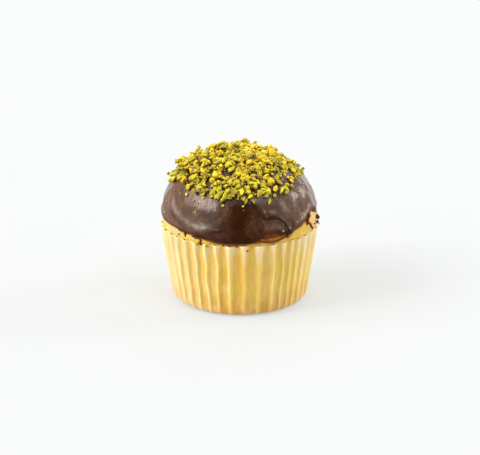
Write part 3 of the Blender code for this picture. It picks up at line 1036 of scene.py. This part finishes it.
DRIPS = (  # azimuth, height and radius of each point, in degrees and millimetres
    (
        (12.8, 30.5, 0.16), (15.6, 30.1, 0.30), (19.0, 29.7, 0.40), (23.3, 29.4, 0.36), (27.5, 29.5, 0.38),
        (31.6, 29.8, 0.30), (36.0, 30.4, 0.18),
    ),
    ((-47.6, 31.6, 0.26), (-49.4, 31.2, 0.20), (-51.0, 31.3, 0.10)),
    ((-44.2, 30.8, 0.30), (-43.4, 30.2, 0.32), (-43.6, 29.7, 0.26), (-43.2, 29.3, 0.12)),
    ((-37.0, 30.6, 0.34), (-34.0, 30.1, 0.36), (-31.6, 30.0, 0.30), (-29.6, 30.2, 0.16)),
    (
        (-30.4, 30.0, 0.34), (-29.2, 29.3, 0.42), (-29.8, 28.6, 0.36), (-29.2, 28.0, 0.28),
        (-29.6, 27.5, 0.12),
    ),
    # This thread along the front just below the coat's lip is partly real chocolate and partly a dark bead
    # that stands in for the shade under the lip.
    (
        (-30.5, 30.3, 0.12), (-25.0, 30.0, 0.26), (-19.0, 29.6, 0.34), (-13.0, 29.3, 0.36),
        (-8.0, 29.1, 0.42), (-3.0, 29.1, 0.30), (2.0, 29.2, 0.30), (7.0, 29.5, 0.22), (12.0, 30.0, 0.12),
    ),
    ((-12.4, 29.3, 0.24), (-12.0, 28.7, 0.30), (-12.2, 28.3, 0.12)),
    ((-3.2, 29.1, 0.30), (-2.4, 28.5, 0.34), (-2.8, 28.1, 0.14)),
    (
        (59.6, 36.2, 0.50), (60.2, 35.2, 0.62), (59.4, 34.2, 0.50), (58.6, 33.2, 0.52), (58.4, 32.3, 0.34),
        (58.8, 31.7, 0.14),
    ),
    (
        (60.6, 32.7, 0.26), (62.4, 31.7, 0.42), (64.0, 30.8, 0.34), (65.8, 29.9, 0.40), (67.2, 29.1, 0.24),
        (67.6, 28.8, 0.10),
    ),
)
FLECKS = (  # pixel and size in millimetres
    (247, 251, 1.0), (316, 217, 2.9), (316, 221, 2.4), (314, 224, 1.2), (179, 234, 0.9), (236, 246, 0.7),
    (287, 236, 1.5),
)
DRIP_STEPS, DRIP_SIDES = 28, 10
CLEAR_RADIUS = 40 * MM  # well outside the cake
FLECK_CORNERS, FLECK_SEED = 11, 3


def drip_tree():
    tree, net, given = new_tree("drips", {"Sides": "Int", "Material": "Material"})
    line = net.add("GeometryNodeMeshToCurve", values={0: given["Geometry"]})
    line = net.add("GeometryNodeCurveSplineType", {"spline_type": "CATMULL_ROM"}, {0: line})
    line = net.add("GeometryNodeResampleCurve", values={"Curve": line, "Count": DRIP_STEPS})
    circle = {"Resolution": given["Sides"], "Radius": 1.0}
    profile = net.add("GeometryNodeCurvePrimitiveCircle", values=circle)
    values = {"Curve": line, "Profile Curve": profile, "Scale": net.told("thick"), "Fill Caps": True}
    tube = net.add("GeometryNodeCurveToMesh", values=values)
    finish_tree(net, net.add("GeometryNodeSetShadeSmooth", values={0: tube}), given["Material"])
    return tree


def fleck_mesh(centre, normal, size, draw):
    """One angular crumb of chocolate as a small bevelled hull."""
    points = []
    for _ in range(FLECK_CORNERS):
        way = Vector([draw.gauss(0, 1) for _ in range(3)]).normalized()
        points.append(centre + normal * 0.25 * size + way * size * draw.uniform(0.36, 0.5))
    shape = hull_of(points)
    bmesh.ops.bevel(shape, geom=list(shape.edges), offset=0.06 * size, segments=1, affect="EDGES")
    mesh = bpy.data.meshes.new("fleck")
    shape.to_mesh(mesh)
    shape.free()
    return mesh


class CUPCAKE_OT_drips(bpy.types.Operator):
    """Make the thin drips and the crumbs of chocolate"""

    bl_idname = "cupcake.drips"
    bl_label = "Drips and crumbs"

    def execute(self, context):
        ground = ground_tree(context.scene)
        points, edges, widths = [], [], []
        for drip in DRIPS:
            for index, (azimuth, height, radius) in enumerate(drip):
                outside = at(azimuth, CLEAR_RADIUS, height * MM)
                hit, normal, _, _ = ground.ray_cast(outside, at(azimuth, -1, 0))
                if index:
                    edges.append((len(points) - 1, len(points)))
                points.append(hit + normal * 0.45 * radius * MM)
                widths.append(radius * MM)
        mesh = bpy.data.meshes.new("chocolate_drips")
        mesh.from_pydata(points, edges, [])
        write(mesh, "thick", widths)
        piece = new_object("chocolate_drips", mesh)
        grow(piece, drip_tree(), {"Sides": DRIP_SIDES, "Material": wet_chocolate_material()})
        settle(piece)
        draw = random.Random(FLECK_SEED)
        whole = bmesh.new()
        whole.from_mesh(piece.data)
        for x, y, size in FLECKS:
            fleck = fleck_mesh(*seen_at(context.scene.cupcake_stage, ground, x, y), size * MM, draw)
            whole.from_mesh(fleck)
            bpy.data.meshes.remove(fleck)
        bmesh.ops.recalc_face_normals(whole, faces=whole.faces)
        whole.to_mesh(piece.data)
        whole.free()
        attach(piece, "root")
        return {"FINISHED"}


# ---------------------------------------------------------------- pistachios


NUT_SHADE = (0.21, 0.165, 0.10)  # the share of the lime that is left in the shade
TONE_SEED = 5
LAID_MARGIN = 1.2 * MM  # how far below the lower limit the large pieces still lie
# Single pieces round the edge of the heap: pixel, length in millimetres, tone and turn.
STRAYS = (
    (189, 189, 2.6, 0.2, 10), (187, 195, 1.9, 0.4, 60), (204, 194, 2.8, 0.35, 20), (212, 197, 2.2, 0.3, -30),
    (220, 193, 2.6, 0.5, 80), (226, 187, 3.0, 0.45, 10), (226, 192, 2.2, 0.6, 0), (230, 198, 3.0, 0.5, -50),
    (223, 206, 1.5, 0.3, 10), (243, 206.5, 1.4, 0.6, 20), (267, 192, 3.3, 0.15, 15), (274, 196, 2.2, 0.7, 90),
    (285, 189, 3.0, 0.6, 30), (285, 193, 2.2, 0.7, 0), (298, 192, 1.6, 0.9, 0), (303, 184, 1.1, 0.9, 0),
    (196, 212, 1.2, 0.9, 40), (194, 201, 1.0, 0.8, 0), (198, 203, 0.8, 0.8, 0), (235, 192, 1.9, 0.9, 0),
    (238, 199, 1.5, 0.7, 30), (258, 196, 2.2, 0.2, 100), (262, 187, 3.0, 0.1, 60), (248, 193, 3.0, 0.15, 70),
    (175, 190, 0.8, 0.3, 0), (167, 201, 0.7, 0.3, 0), (165, 212, 0.8, 0.1, 80), (163, 202, 0.6, 0.1, 80),
    (283, 231, 1.1, 0.9, 0), (197.5, 242.5, 2.3, 0.35, 70), (206, 245, 2.6, 0.0, 100),
)
SLIVERS = (
    (246, 202, 3.6, 0.55, 66), (253, 202, 2.8, 0.6, 118), (269, 202, 3.3, 0.7, 76), (222, 201, 2.4, 0.5, 60),
)
STRAY_LIFT = 0.22  # of its length
STRAY_CHANCE = 0.7  # the most, which is less than gives a piece its skin
SKIN_SIDE = Vector((0.2, 0.5, 0.84)).normalized()  # the side of each piece that lay outermost in its kernel


def pistachio_material(nuts):
    material, net = new_material("chopped_pistachio")
    place = net.place()
    tone, chance, outside = net.attribute("tone"), net.attribute("chance"), net.attribute("outside")
    clouds = net.noise(place, 0.9 * MM, 2, 0.5)
    crumb_noise = net.noise(place, 0.25 * MM, 3, 0.6)
    low = net.smooth(52 * MM, 44 * MM, net.split(place).also("Z"))
    outer = net.smooth(0.25, 0.65, outside + 0.5 * (clouds - 0.5))
    ripe = tone + 0.16 * (clouds - 0.5) + 0.24 * outer + 0.32 * low - 0.12
    stops = (0.0, nuts.orange), (0.14, nuts.yellow), (0.56, nuts.yellow), (0.80, nuts.lime), (1.0, nuts.green)
    tint = net.ramp(ripe, *stops)
    small = net.smooth(2.4 * MM, 0.8 * MM, net.attribute("length"))
    tint = net.colour_mix(small * 0.6 + (1 - outer) * 0.15, tint, nuts.crumb)
    skinned = net.smooth(0.2, 0.5, outside + 0.5 * (clouds - 0.5)) * net.smooth(0.82, 0.86, chance)
    tint = net.colour_mix(skinned * 0.9, tint, nuts.skin)
    pits = net.smooth(0.40, 0.22, crumb_noise) * 0.25
    tint = net.colour_mix(pits, tint, nuts.skin)
    shade = net.math("FRACT", chance * 17.3 + tone * 5.1)
    shadowed = net.smooth(0.30, -0.55, net.attribute("upward") + 0.3 * (clouds - 0.5))
    dark = [share * level for share, level in zip(NUT_SHADE, nuts.lime)]
    tint = net.colour_mix((1 - shade) ** 1.5 * 0.55, tint, dark)
    tint = net.colour_mix(shadowed * 0.72, tint, dark)
    finish_material(
        net,
        {
            "Base Color": tint,
            "Roughness": 0.55 + 0.25 * (crumb_noise - 0.5),
            "Specular IOR Level": 0.25,
            "Subsurface Weight": 0.1,
            "Subsurface Radius": (1.0, 0.8, 0.2),
            "Subsurface Scale": 0.6 * MM,
            "Normal": net.relief(crumb_noise, 0.12 * MM),
        },
    )
    return material


def chip_corners(draw, count, sway, sizes):
    """The corners of a piece of unit length, whose sizes are its breadth, thickness and reach.

    Each size is a number, or a range from which it is drawn for every corner.
    """
    corners = []
    for corner in range(count):
        level = 1 - 2 * (corner + draw.uniform(0.1, 0.9)) / count
        turn = math.radians(corner * GOLDEN_ANGLE) + draw.uniform(-sway, sway)
        drawn = (draw.uniform(*size) if isinstance(size, tuple) else size for size in sizes)
        breadth, thickness, reach = drawn
        around = math.sqrt(1 - level * level)
        place = Vector((level, breadth * around * math.cos(turn), thickness * around * math.sin(turn)))
        corners.append(place * 0.5 * reach)
    return corners


def nut_corners(number):
    """The corners of one of the large pieces, as the solids have them."""
    sizes = NUT_BREADTH, NUT_THICKNESS, (0.8, 1.0)
    return chip_corners(random.Random(NUT_SEED + number), NUT_CORNERS, 0.4, sizes)


def nut_mesh(name, corners, bevel=0.0):
    """A chopped piece as a bevelled hull. Its faces know how far they belong to the kernel's outside."""
    shape = hull_of(corners)
    if bevel:
        edges = list(shape.edges)
        bmesh.ops.bevel(shape, geom=edges, offset=bevel, segments=1, affect="EDGES", clamp_overlap=True)
    bmesh.ops.recalc_face_normals(shape, faces=shape.faces)
    outside = shape.faces.layers.float.new("outside")
    for face in shape.faces:
        face.normal_update()
        face[outside] = face.normal.dot(SKIN_SIDE)
    mesh = bpy.data.meshes.new(name)
    shape.to_mesh(mesh)
    shape.free()
    mesh.shade_flat()
    return mesh


def shape_collection(name, meshes):
    collection = bpy.data.collections.new(name)
    for number, mesh in enumerate(meshes):
        collection.objects.link(bpy.data.objects.new(f"{name}_{number:02}", mesh))
    return collection


def drop_collection(collection):
    for item in list(collection.objects):
        mesh = item.data
        bpy.data.objects.remove(item)
        bpy.data.meshes.remove(mesh)
    bpy.data.collections.remove(collection)


def chips(name, first, count, corners, bevel=0.0):
    """A collection of irregular sharp chips of unit length with few faces."""
    sizes = (0.45, 0.7), (0.4, 0.6), (0.75, 1.0)
    chopped = [chip_corners(random.Random(seed), corners, 0.5, sizes) for seed in range(first, first + count)]
    return shape_collection(name, [nut_mesh(name, points, bevel) for points in chopped])


def nut_places(nuts):
    """Azimuth, distance from the axis, length and lift of each large piece, as the solids have them."""
    draw = random.Random(NUT_SEED)
    for index in range(NUTS):
        size = nuts.longest + draw.random() ** 0.7 * (nuts.shortest - nuts.longest)
        away = NUT_SPREAD * ((index + 0.5) / NUTS) ** NUT_CROWDING + draw.uniform(-NUT_STRAY, NUT_STRAY)
        yield index * GOLDEN_ANGLE + draw.uniform(-6, 6), abs(away), size, -NUT_BURIED
    for index in range(PILED_NUTS):
        size = draw.uniform(nuts.shortest, nuts.longest)
        away = PILED_SPREAD * ((index + 0.5) / PILED_NUTS) ** NUT_CROWDING
        yield index * GOLDEN_ANGLE + 60, away, size, PILED_LIFT


def heap_rise(azimuth, bump, smooth):
    """How much higher than its lower limit the heap ends here. It takes numbers or wires."""
    return smooth(28, 62, azimuth) * (2.3 * MM) - bump(azimuth, 6, 9) * (1.5 * MM)


def laid_nuts(nuts, icing, stage, ground):
    """Place, turn, length, shape, tone and chance of each large piece and each stray."""
    draw, tones = random.Random(NUT_SEED), random.Random(TONE_SEED)
    shapes = [nut_corners(number) for number in range(NUT_SHAPES)]
    rows = []
    for index, (azimuth, away, size, lift) in enumerate(nut_places(nuts)):
        height = dome_height(icing, away)
        limit = nuts.lower_limit + heap_rise(half_turn(azimuth), bump, smooth) - LAID_MARGIN
        fall = dome_height(icing, away - SLOPE_STEP) - dome_height(icing, away + SLOPE_STEP)
        tilt = Matrix.Rotation(math.atan2(fall, 2 * SLOPE_STEP), 3, "Y")
        outward = Matrix.Rotation(math.radians(azimuth - 90), 3, "Z") @ tilt
        lean = Euler((draw.uniform(-NUT_LEAN, NUT_LEAN), draw.uniform(-NUT_LEAN, NUT_LEAN), 0)).to_matrix()
        turn = outward @ Matrix.Rotation(draw.uniform(0, math.tau), 3, "Z") @ lean
        normal = outward @ Vector((0, 0, 1))
        number = index % NUT_SHAPES
        lowest = min((turn @ corner).dot(normal) for corner in shapes[number]) * size
        place = at(azimuth, away, height)
        lift += HEAP_LIFT * smooth(*HEAP_SIDES, -place.x) - HEAP_DROP * smooth(*HEAP_SIDES, place.x)
        place += normal * (lift - lowest)
        tone, chance = tones.random(), tones.random()
        if height > limit:
            rows.append((place, turn.to_euler(), size, number, tone, chance))
    for index, (x, y, size, tone, degrees) in enumerate(STRAYS + SLIVERS):
        place, normal = seen_at(stage, ground, x, y)
        number = (index * 5) % NUT_SHAPES if index < len(STRAYS) else NUT_SHAPES
        across = Vector((1, 0, 0)) - normal * normal.x
        frame_turn = Matrix((across.normalized(), normal.cross(across).normalized(), normal)).transposed()
        turn = frame_turn @ Matrix.Rotation(math.radians(degrees), 3, "Z")
        place += normal * STRAY_LIFT * size * MM
        rows.append((place, turn.to_euler(), size * MM, number, tone, tones.random() * STRAY_CHANCE))
    return rows


def layout_mesh(rows):
    """A mesh of points alone, one for each row, with the rest of the row as attributes."""
    places, turns, *columns = zip(*rows)
    mesh = bpy.data.meshes.new("pistachio_pieces")
    mesh.from_pydata(places, [], [])
    write(mesh, "turn", [value for turn in turns for value in turn], "FLOAT_VECTOR", "vector")
    for name, values in zip(("length", "shape", "tone", "chance"), columns):
        write(mesh, name, values, "INT" if name == "shape" else "FLOAT")
    return mesh


def put_shapes(net, given, points, index, turn, size):
    """Puts the given shape of this index on each point."""
    apart = {"Separate Children": True, "Reset Children": True}
    shapes = net.add("GeometryNodeCollectionInfo", values={0: given["Shapes"], **apart})
    values = {"Points": points, "Instance": shapes, "Pick Instance": True, "Instance Index": index}
    return net.add("GeometryNodeInstanceOnPoints", values={**values, "Rotation": turn, "Scale": size})


def laid_tree():
    """Puts a shape on each point of the layout, as the point's attributes say."""
    tree, net, given = new_tree("laid_nuts", {"Shapes": "Collection", "Material": "Material"})
    turn = net.add("FunctionNodeEulerToRotation", values={0: net.told("turn", "FLOAT_VECTOR")})
    laid = put_shapes(net, given, given["Geometry"], net.told("shape", "INT"), turn, net.told("length"))
    finish_tree(net, laid, given["Material"])
    return tree


# The inputs of the scatter that are lengths, and those that are shares.
STREWN_SIZES, STREWN_SHARES = ("Shortest", "Longest", "Lower Limit", "Fringe"), ("Lift", "Clumping", "Tone")


def scatter_tree():
    """Strews shapes over the coat and over the pieces that lie there already."""
    numbers = dict.fromkeys(("Density", *STREWN_SIZES, *STREWN_SHARES), "Float")
    kinds = {"Coat": "Object", "Shapes": "Collection", "Number of Shapes": "Int", **numbers}
    tree, net, given = new_tree("strewn_nuts", {**kinds, "Seed": "Int", "Material": "Material"})

    def drawn(kind, low, high, offset, index):
        places = {"FLOAT_VECTOR": (0, 1, 0), "FLOAT": (2, 3, 1), "INT": (4, 5, 2)}[kind]
        values = {places[0]: low, places[1]: high, "ID": index, "Seed": given["Seed"] + offset}
        return net.add("FunctionNodeRandomValue", {"data_type": kind}, values, places[2])

    coat = net.add("GeometryNodeObjectInfo", values={0: given["Coat"]}, output="Geometry")
    ground = net.add("GeometryNodeJoinGeometry", values={0: [coat, given["Geometry"]]})
    place = net.add("GeometryNodeInputPosition")
    across = net.split(place)
    azimuth = net.math("ARCTAN2", across, across.also("Y") * -1) * math.degrees(1)
    height = across.also("Z") - heap_rise(azimuth, net.bump, net.smooth)
    facing = net.split(net.add("GeometryNodeInputNormal")).also("Z")
    patches = net.noise(place, 5 * MM, 2) - 0.5
    level = height + patches * (6 * MM)
    share = net.smooth(given["Lower Limit"] - given["Fringe"], given["Lower Limit"] + given["Fringe"], level)
    clumps = net.smooth(0.44, 0.60, net.noise(place, 6 * MM, 1))
    share = share * (1 - given["Clumping"] * (1 - clumps))
    thinner = 1 - 0.45 * net.smooth(*HEAP_SIDES, across)
    density = given["Density"] * share * thinner * net.smooth(0.05, 0.35, facing)
    values = {"Mesh": ground, "Density": density, "Seed": given["Seed"]}
    spread = net.add("GeometryNodeDistributePointsOnFaces", values=values)
    index = net.add("GeometryNodeInputIndex")
    size = drawn("FLOAT", 0.0, 1.0, 1, index)
    size = given["Shortest"] + (given["Longest"] - given["Shortest"]) * size**1.2
    points = spread
    stored = {
        "length": size,
        "tone": drawn("FLOAT", 0.0, 1.0, 2, index) + given["Tone"],
        "chance": drawn("FLOAT", 0.0, 1.0, 3, index),
    }
    for label, value in stored.items():
        points = net.store(points, label, value)
    told = net.told("length")
    lean = drawn("FLOAT_VECTOR", (-0.5, -0.5, 0.0), (0.5, 0.5, math.tau), 4, index)
    turns = {0: spread.also("Rotation"), 1: net.add("FunctionNodeEulerToRotation", values={0: lean})}
    turn = net.add("FunctionNodeRotateRotation", {"rotation_space": "LOCAL"}, turns)
    lifted = net.scaled(spread.also("Normal"), told * given["Lift"])
    points = net.add("GeometryNodeSetPosition", values={"Geometry": points, "Offset": lifted})
    shape = drawn("INT", 0, given["Number of Shapes"] - 1, 5, index)
    strewn = put_shapes(net, given, points, shape, turn, told)
    whole = net.add("GeometryNodeJoinGeometry", values={0: [given["Geometry"], strewn]})
    whole = net.add("GeometryNodeRealizeInstances", values={0: whole})
    upward = net.split(net.add("GeometryNodeInputNormal")).also("Z")
    finish_tree(net, net.store(whole, "upward", upward, "FACE"), given["Material"])
    return tree


class CUPCAKE_OT_pistachios(bpy.types.Operator):
    """Lay the chopped pistachios, the smaller bits between them and their dust"""

    bl_idname = "cupcake.pistachios"
    bl_label = "Chopped pistachios"

    def execute(self, context):
        scene = context.scene
        nuts, coat = scene.cupcake_nuts, scene.objects["chocolate_coat"]
        material = pistachio_material(nuts)
        rows = laid_nuts(nuts, scene.cupcake_icing, scene.cupcake_stage, ground_tree(scene))
        piece = new_object("pistachio_pieces", layout_mesh(rows))
        large = [nut_mesh("large", nut_corners(number), NUT_BEVEL) for number in range(NUT_SHAPES)]
        sliver = [Vector((corner.x, 0.5 * corner.y, 0.55 * corner.z)) for corner in nut_corners(3)]
        large = shape_collection("large", [*large, nut_mesh("sliver", sliver, NUT_BEVEL)])
        medium = chips("medium", first=100, count=16, corners=8, bevel=0.05)
        small = chips("small", first=200, count=12, corners=7)
        grow(piece, laid_tree(), {"Shapes": large, "Material": material})
        layers = (  # shapes, number to the square centimetre, sizes in millimetres, and shares
            (medium, nuts.medium, (2.2, 4.2, 0.3, 1.3), (0.2, 0.0, 0.0)),
            (small, CLUMP_DENSITY * nuts.small, (0.8, 1.7, 0.8, 1.6), (0.2, 0.9, 0.1)),
            (small, nuts.dust, (0.22, 0.6, -3.0, 4.5), (0.3, 0.3, 0.15)),
        )
        tree = scatter_tree()
        for layer, (shapes, density, sizes, shares) in enumerate(layers, 1):
            values = {"Coat": coat, "Shapes": shapes, "Number of Shapes": len(shapes.objects)}
            values.update({name: size * MM for name, size in zip(STREWN_SIZES, sizes)})
            values.update(zip(STREWN_SHARES, shares))
            values["Lower Limit"] += nuts.lower_limit
            values["Density"] = density / SQUARE_CM
            grow(piece, tree, {**values, "Seed": nuts.seed + 10 * layer, "Material": material})
        settle(piece)
        for collection in (large, medium, small):
            drop_collection(collection)
        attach(piece, "root")
        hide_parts("chocolate_icing")
        return {"FINISHED"}


# ---------------------------------------------------------------- stage


def floor_material(stage):
    material, net = new_material("white_floor")
    clouds = net.noise(net.place(), 0.12, 2)
    tint = net.colour_mix(clouds, [0.985 * level for level in stage.floor], stage.floor)
    values = {"Base Color": tint, "Roughness": 0.8, "Specular IOR Level": 0.1}
    values.update({"Emission Color": (0.978, 1.0, 0.988, 1), "Emission Strength": stage.glow})
    finish_material(net, values)
    return material


TENT_SIDES = (  # azimuth and radiance, from the back by the left and the front to the back again
    (-180, 1.2), (-135, 1.0), (-112, 1.1), (-92, 1.7), (-68, 1.7), (-48, 1.3), (-34, 0.5), (-24, 0.06),
    (14, 0.03), (30, 0.18), (41, 0.45), (56, 1.2), (72, 1.35), (95, 1.0), (120, 1.0), (145, 1.4), (180, 1.2),
)
TENT_TOP = 1.4
TENT_FULL = 3.0  # the radiance that a level of 1 stands for
WINDOWS = (  # azimuth, elevation, half width and radiance
    (-66, 35, 13, 13.0), (-94, 37, 12, 6.0), (-50, 22, 9, 2.0), (-68, 24, 10, 2.2), (-88, 22, 10, 2.6),
    (104, 23, 12, 11.0), (45, 53, 11, 5.0),
)
FLOOR_RADIUS, FLOOR_DROP = 3.0, 0.02 * MM


def light_tent(stage):
    """A tent of soft light that is bright on the left, dimmer on the right and open towards the camera."""
    world = bpy.data.worlds.new("light_tent")
    bpy.context.scene.world = world
    world.use_nodes = True
    world.node_tree.nodes.clear()
    net = Net(world.node_tree)
    direction = net.add("ShaderNodeTexCoord", output="Generated")
    way = net.split(direction)
    heading = net.math("ARCTAN2", way, way.also("Y") * -1) * (0.5 / math.pi) + 0.5
    stops = [(0.5 + azimuth / 360, (level / TENT_FULL,) * 3) for azimuth, level in TENT_SIDES]
    sides = net.ramp(heading, *stops)
    above = net.smooth(0.70, 0.92, way.also("Z"))
    level = sides + above * (TENT_TOP / TENT_FULL - sides)
    for azimuth, elevation, width, strength in WINDOWS:
        middle = at(azimuth, math.cos(math.radians(elevation)), math.sin(math.radians(elevation)))
        facing = net.vector("DOT_PRODUCT", direction, middle, output="Value")
        edge = math.cos(math.radians(width))
        level = level + net.smooth(edge, 0.35 * edge + 0.65, facing) * (strength / TENT_FULL)
    level = level * (0.2 + 0.8 * net.smooth(-0.4, -0.12, way.also("Z")))
    glow = net.combine(level, level, level)
    seen = net.add("ShaderNodeLightPath", output="Is Camera Ray")
    glow = net.add("ShaderNodeBackground", values={"Color": glow, "Strength": TENT_FULL * stage.light})
    plain = net.add("ShaderNodeBackground", values={"Color": (*srgb(252, 252, 252), 1), "Strength": 1.0})
    tent = net.add("ShaderNodeMixShader", values={0: seen, 1: glow, 2: plain})
    net.add("ShaderNodeOutputWorld", values={"Surface": tent})


class CUPCAKE_OT_stage(bpy.types.Operator):
    """Set the floor, the light and the camera"""

    bl_idname = "cupcake.stage"
    bl_label = "Stage"

    def execute(self, context):
        scene, stage = context.scene, context.scene.cupcake_stage
        disc = bmesh.new()
        bmesh.ops.create_circle(disc, cap_ends=True, radius=FLOOR_RADIUS, segments=96)
        mesh = bpy.data.meshes.new("floor")
        disc.to_mesh(mesh)
        disc.free()
        mesh.transform(Matrix.Translation((0, 0, -FLOOR_DROP)))
        floor = new_object("floor", mesh)
        mesh.materials.append(floor_material(stage))
        floor.visible_glossy = False
        light_tent(stage)
        data = bpy.data.cameras.new("camera")
        data.sensor_width = SENSOR
        data.lens = FOCAL * SENSOR / FRAME_WIDTH
        data.clip_start = 0.01
        camera = new_object("camera", data)
        place, right, up, forward = camera_place(stage)
        turn = Matrix((right, up, -forward)).transposed().to_4x4()
        camera.matrix_world = Matrix.Translation(place) @ turn
        scene.camera = camera
        scene.view_settings.view_transform = "Standard"
        scene.view_settings.look = "None"
        return {"FINISHED"}


# ---------------------------------------------------------------- add-on


class CUPCAKE_PT_panel(bpy.types.Panel):
    bl_idname = "CUPCAKE_PT_panel"
    bl_label = "Cupcake"
    bl_space_type = "VIEW_3D"
    bl_region_type = "UI"
    bl_category = "Cupcake"

    def draw(self, context):
        for operator, group in STEPS:
            box = self.layout.box()
            box.operator(operator.bl_idname)
            settings = getattr(context.scene, group)
            for name in type(settings).__annotations__:
                box.prop(settings, name)


GROUPS = {
    "cupcake_stage": StageSettings,
    "cupcake_paper": PaperSettings,
    "cupcake_sponge": SpongeSettings,
    "cupcake_icing": IcingSettings,
    "cupcake_nuts": PistachioSettings,
}
STEPS = (
    (CUPCAKE_OT_stage, "cupcake_stage"),
    (CUPCAKE_OT_paper, "cupcake_paper"),
    (CUPCAKE_OT_sponge, "cupcake_sponge"),
    (CUPCAKE_OT_icing, "cupcake_icing"),
    (CUPCAKE_OT_drips, "cupcake_icing"),
    (CUPCAKE_OT_pistachios, "cupcake_nuts"),
)


def register():
    for name, group in GROUPS.items():
        bpy.utils.register_class(group)
        setattr(bpy.types.Scene, name, PointerProperty(type=group))
    for operator, _ in STEPS:
        bpy.utils.register_class(operator)
    bpy.utils.register_class(CUPCAKE_PT_panel)


def unregister():
    bpy.utils.unregister_class(CUPCAKE_PT_panel)
    for operator, _ in reversed(STEPS):
        bpy.utils.unregister_class(operator)
    for name, group in GROUPS.items():
        delattr(bpy.types.Scene, name)
        bpy.utils.unregister_class(group)


def main():
    register()
    for operator, _ in STEPS:
        getattr(bpy.ops.cupcake, operator.bl_idname.split(".")[1])()


if __name__ == "__main__":
    main()
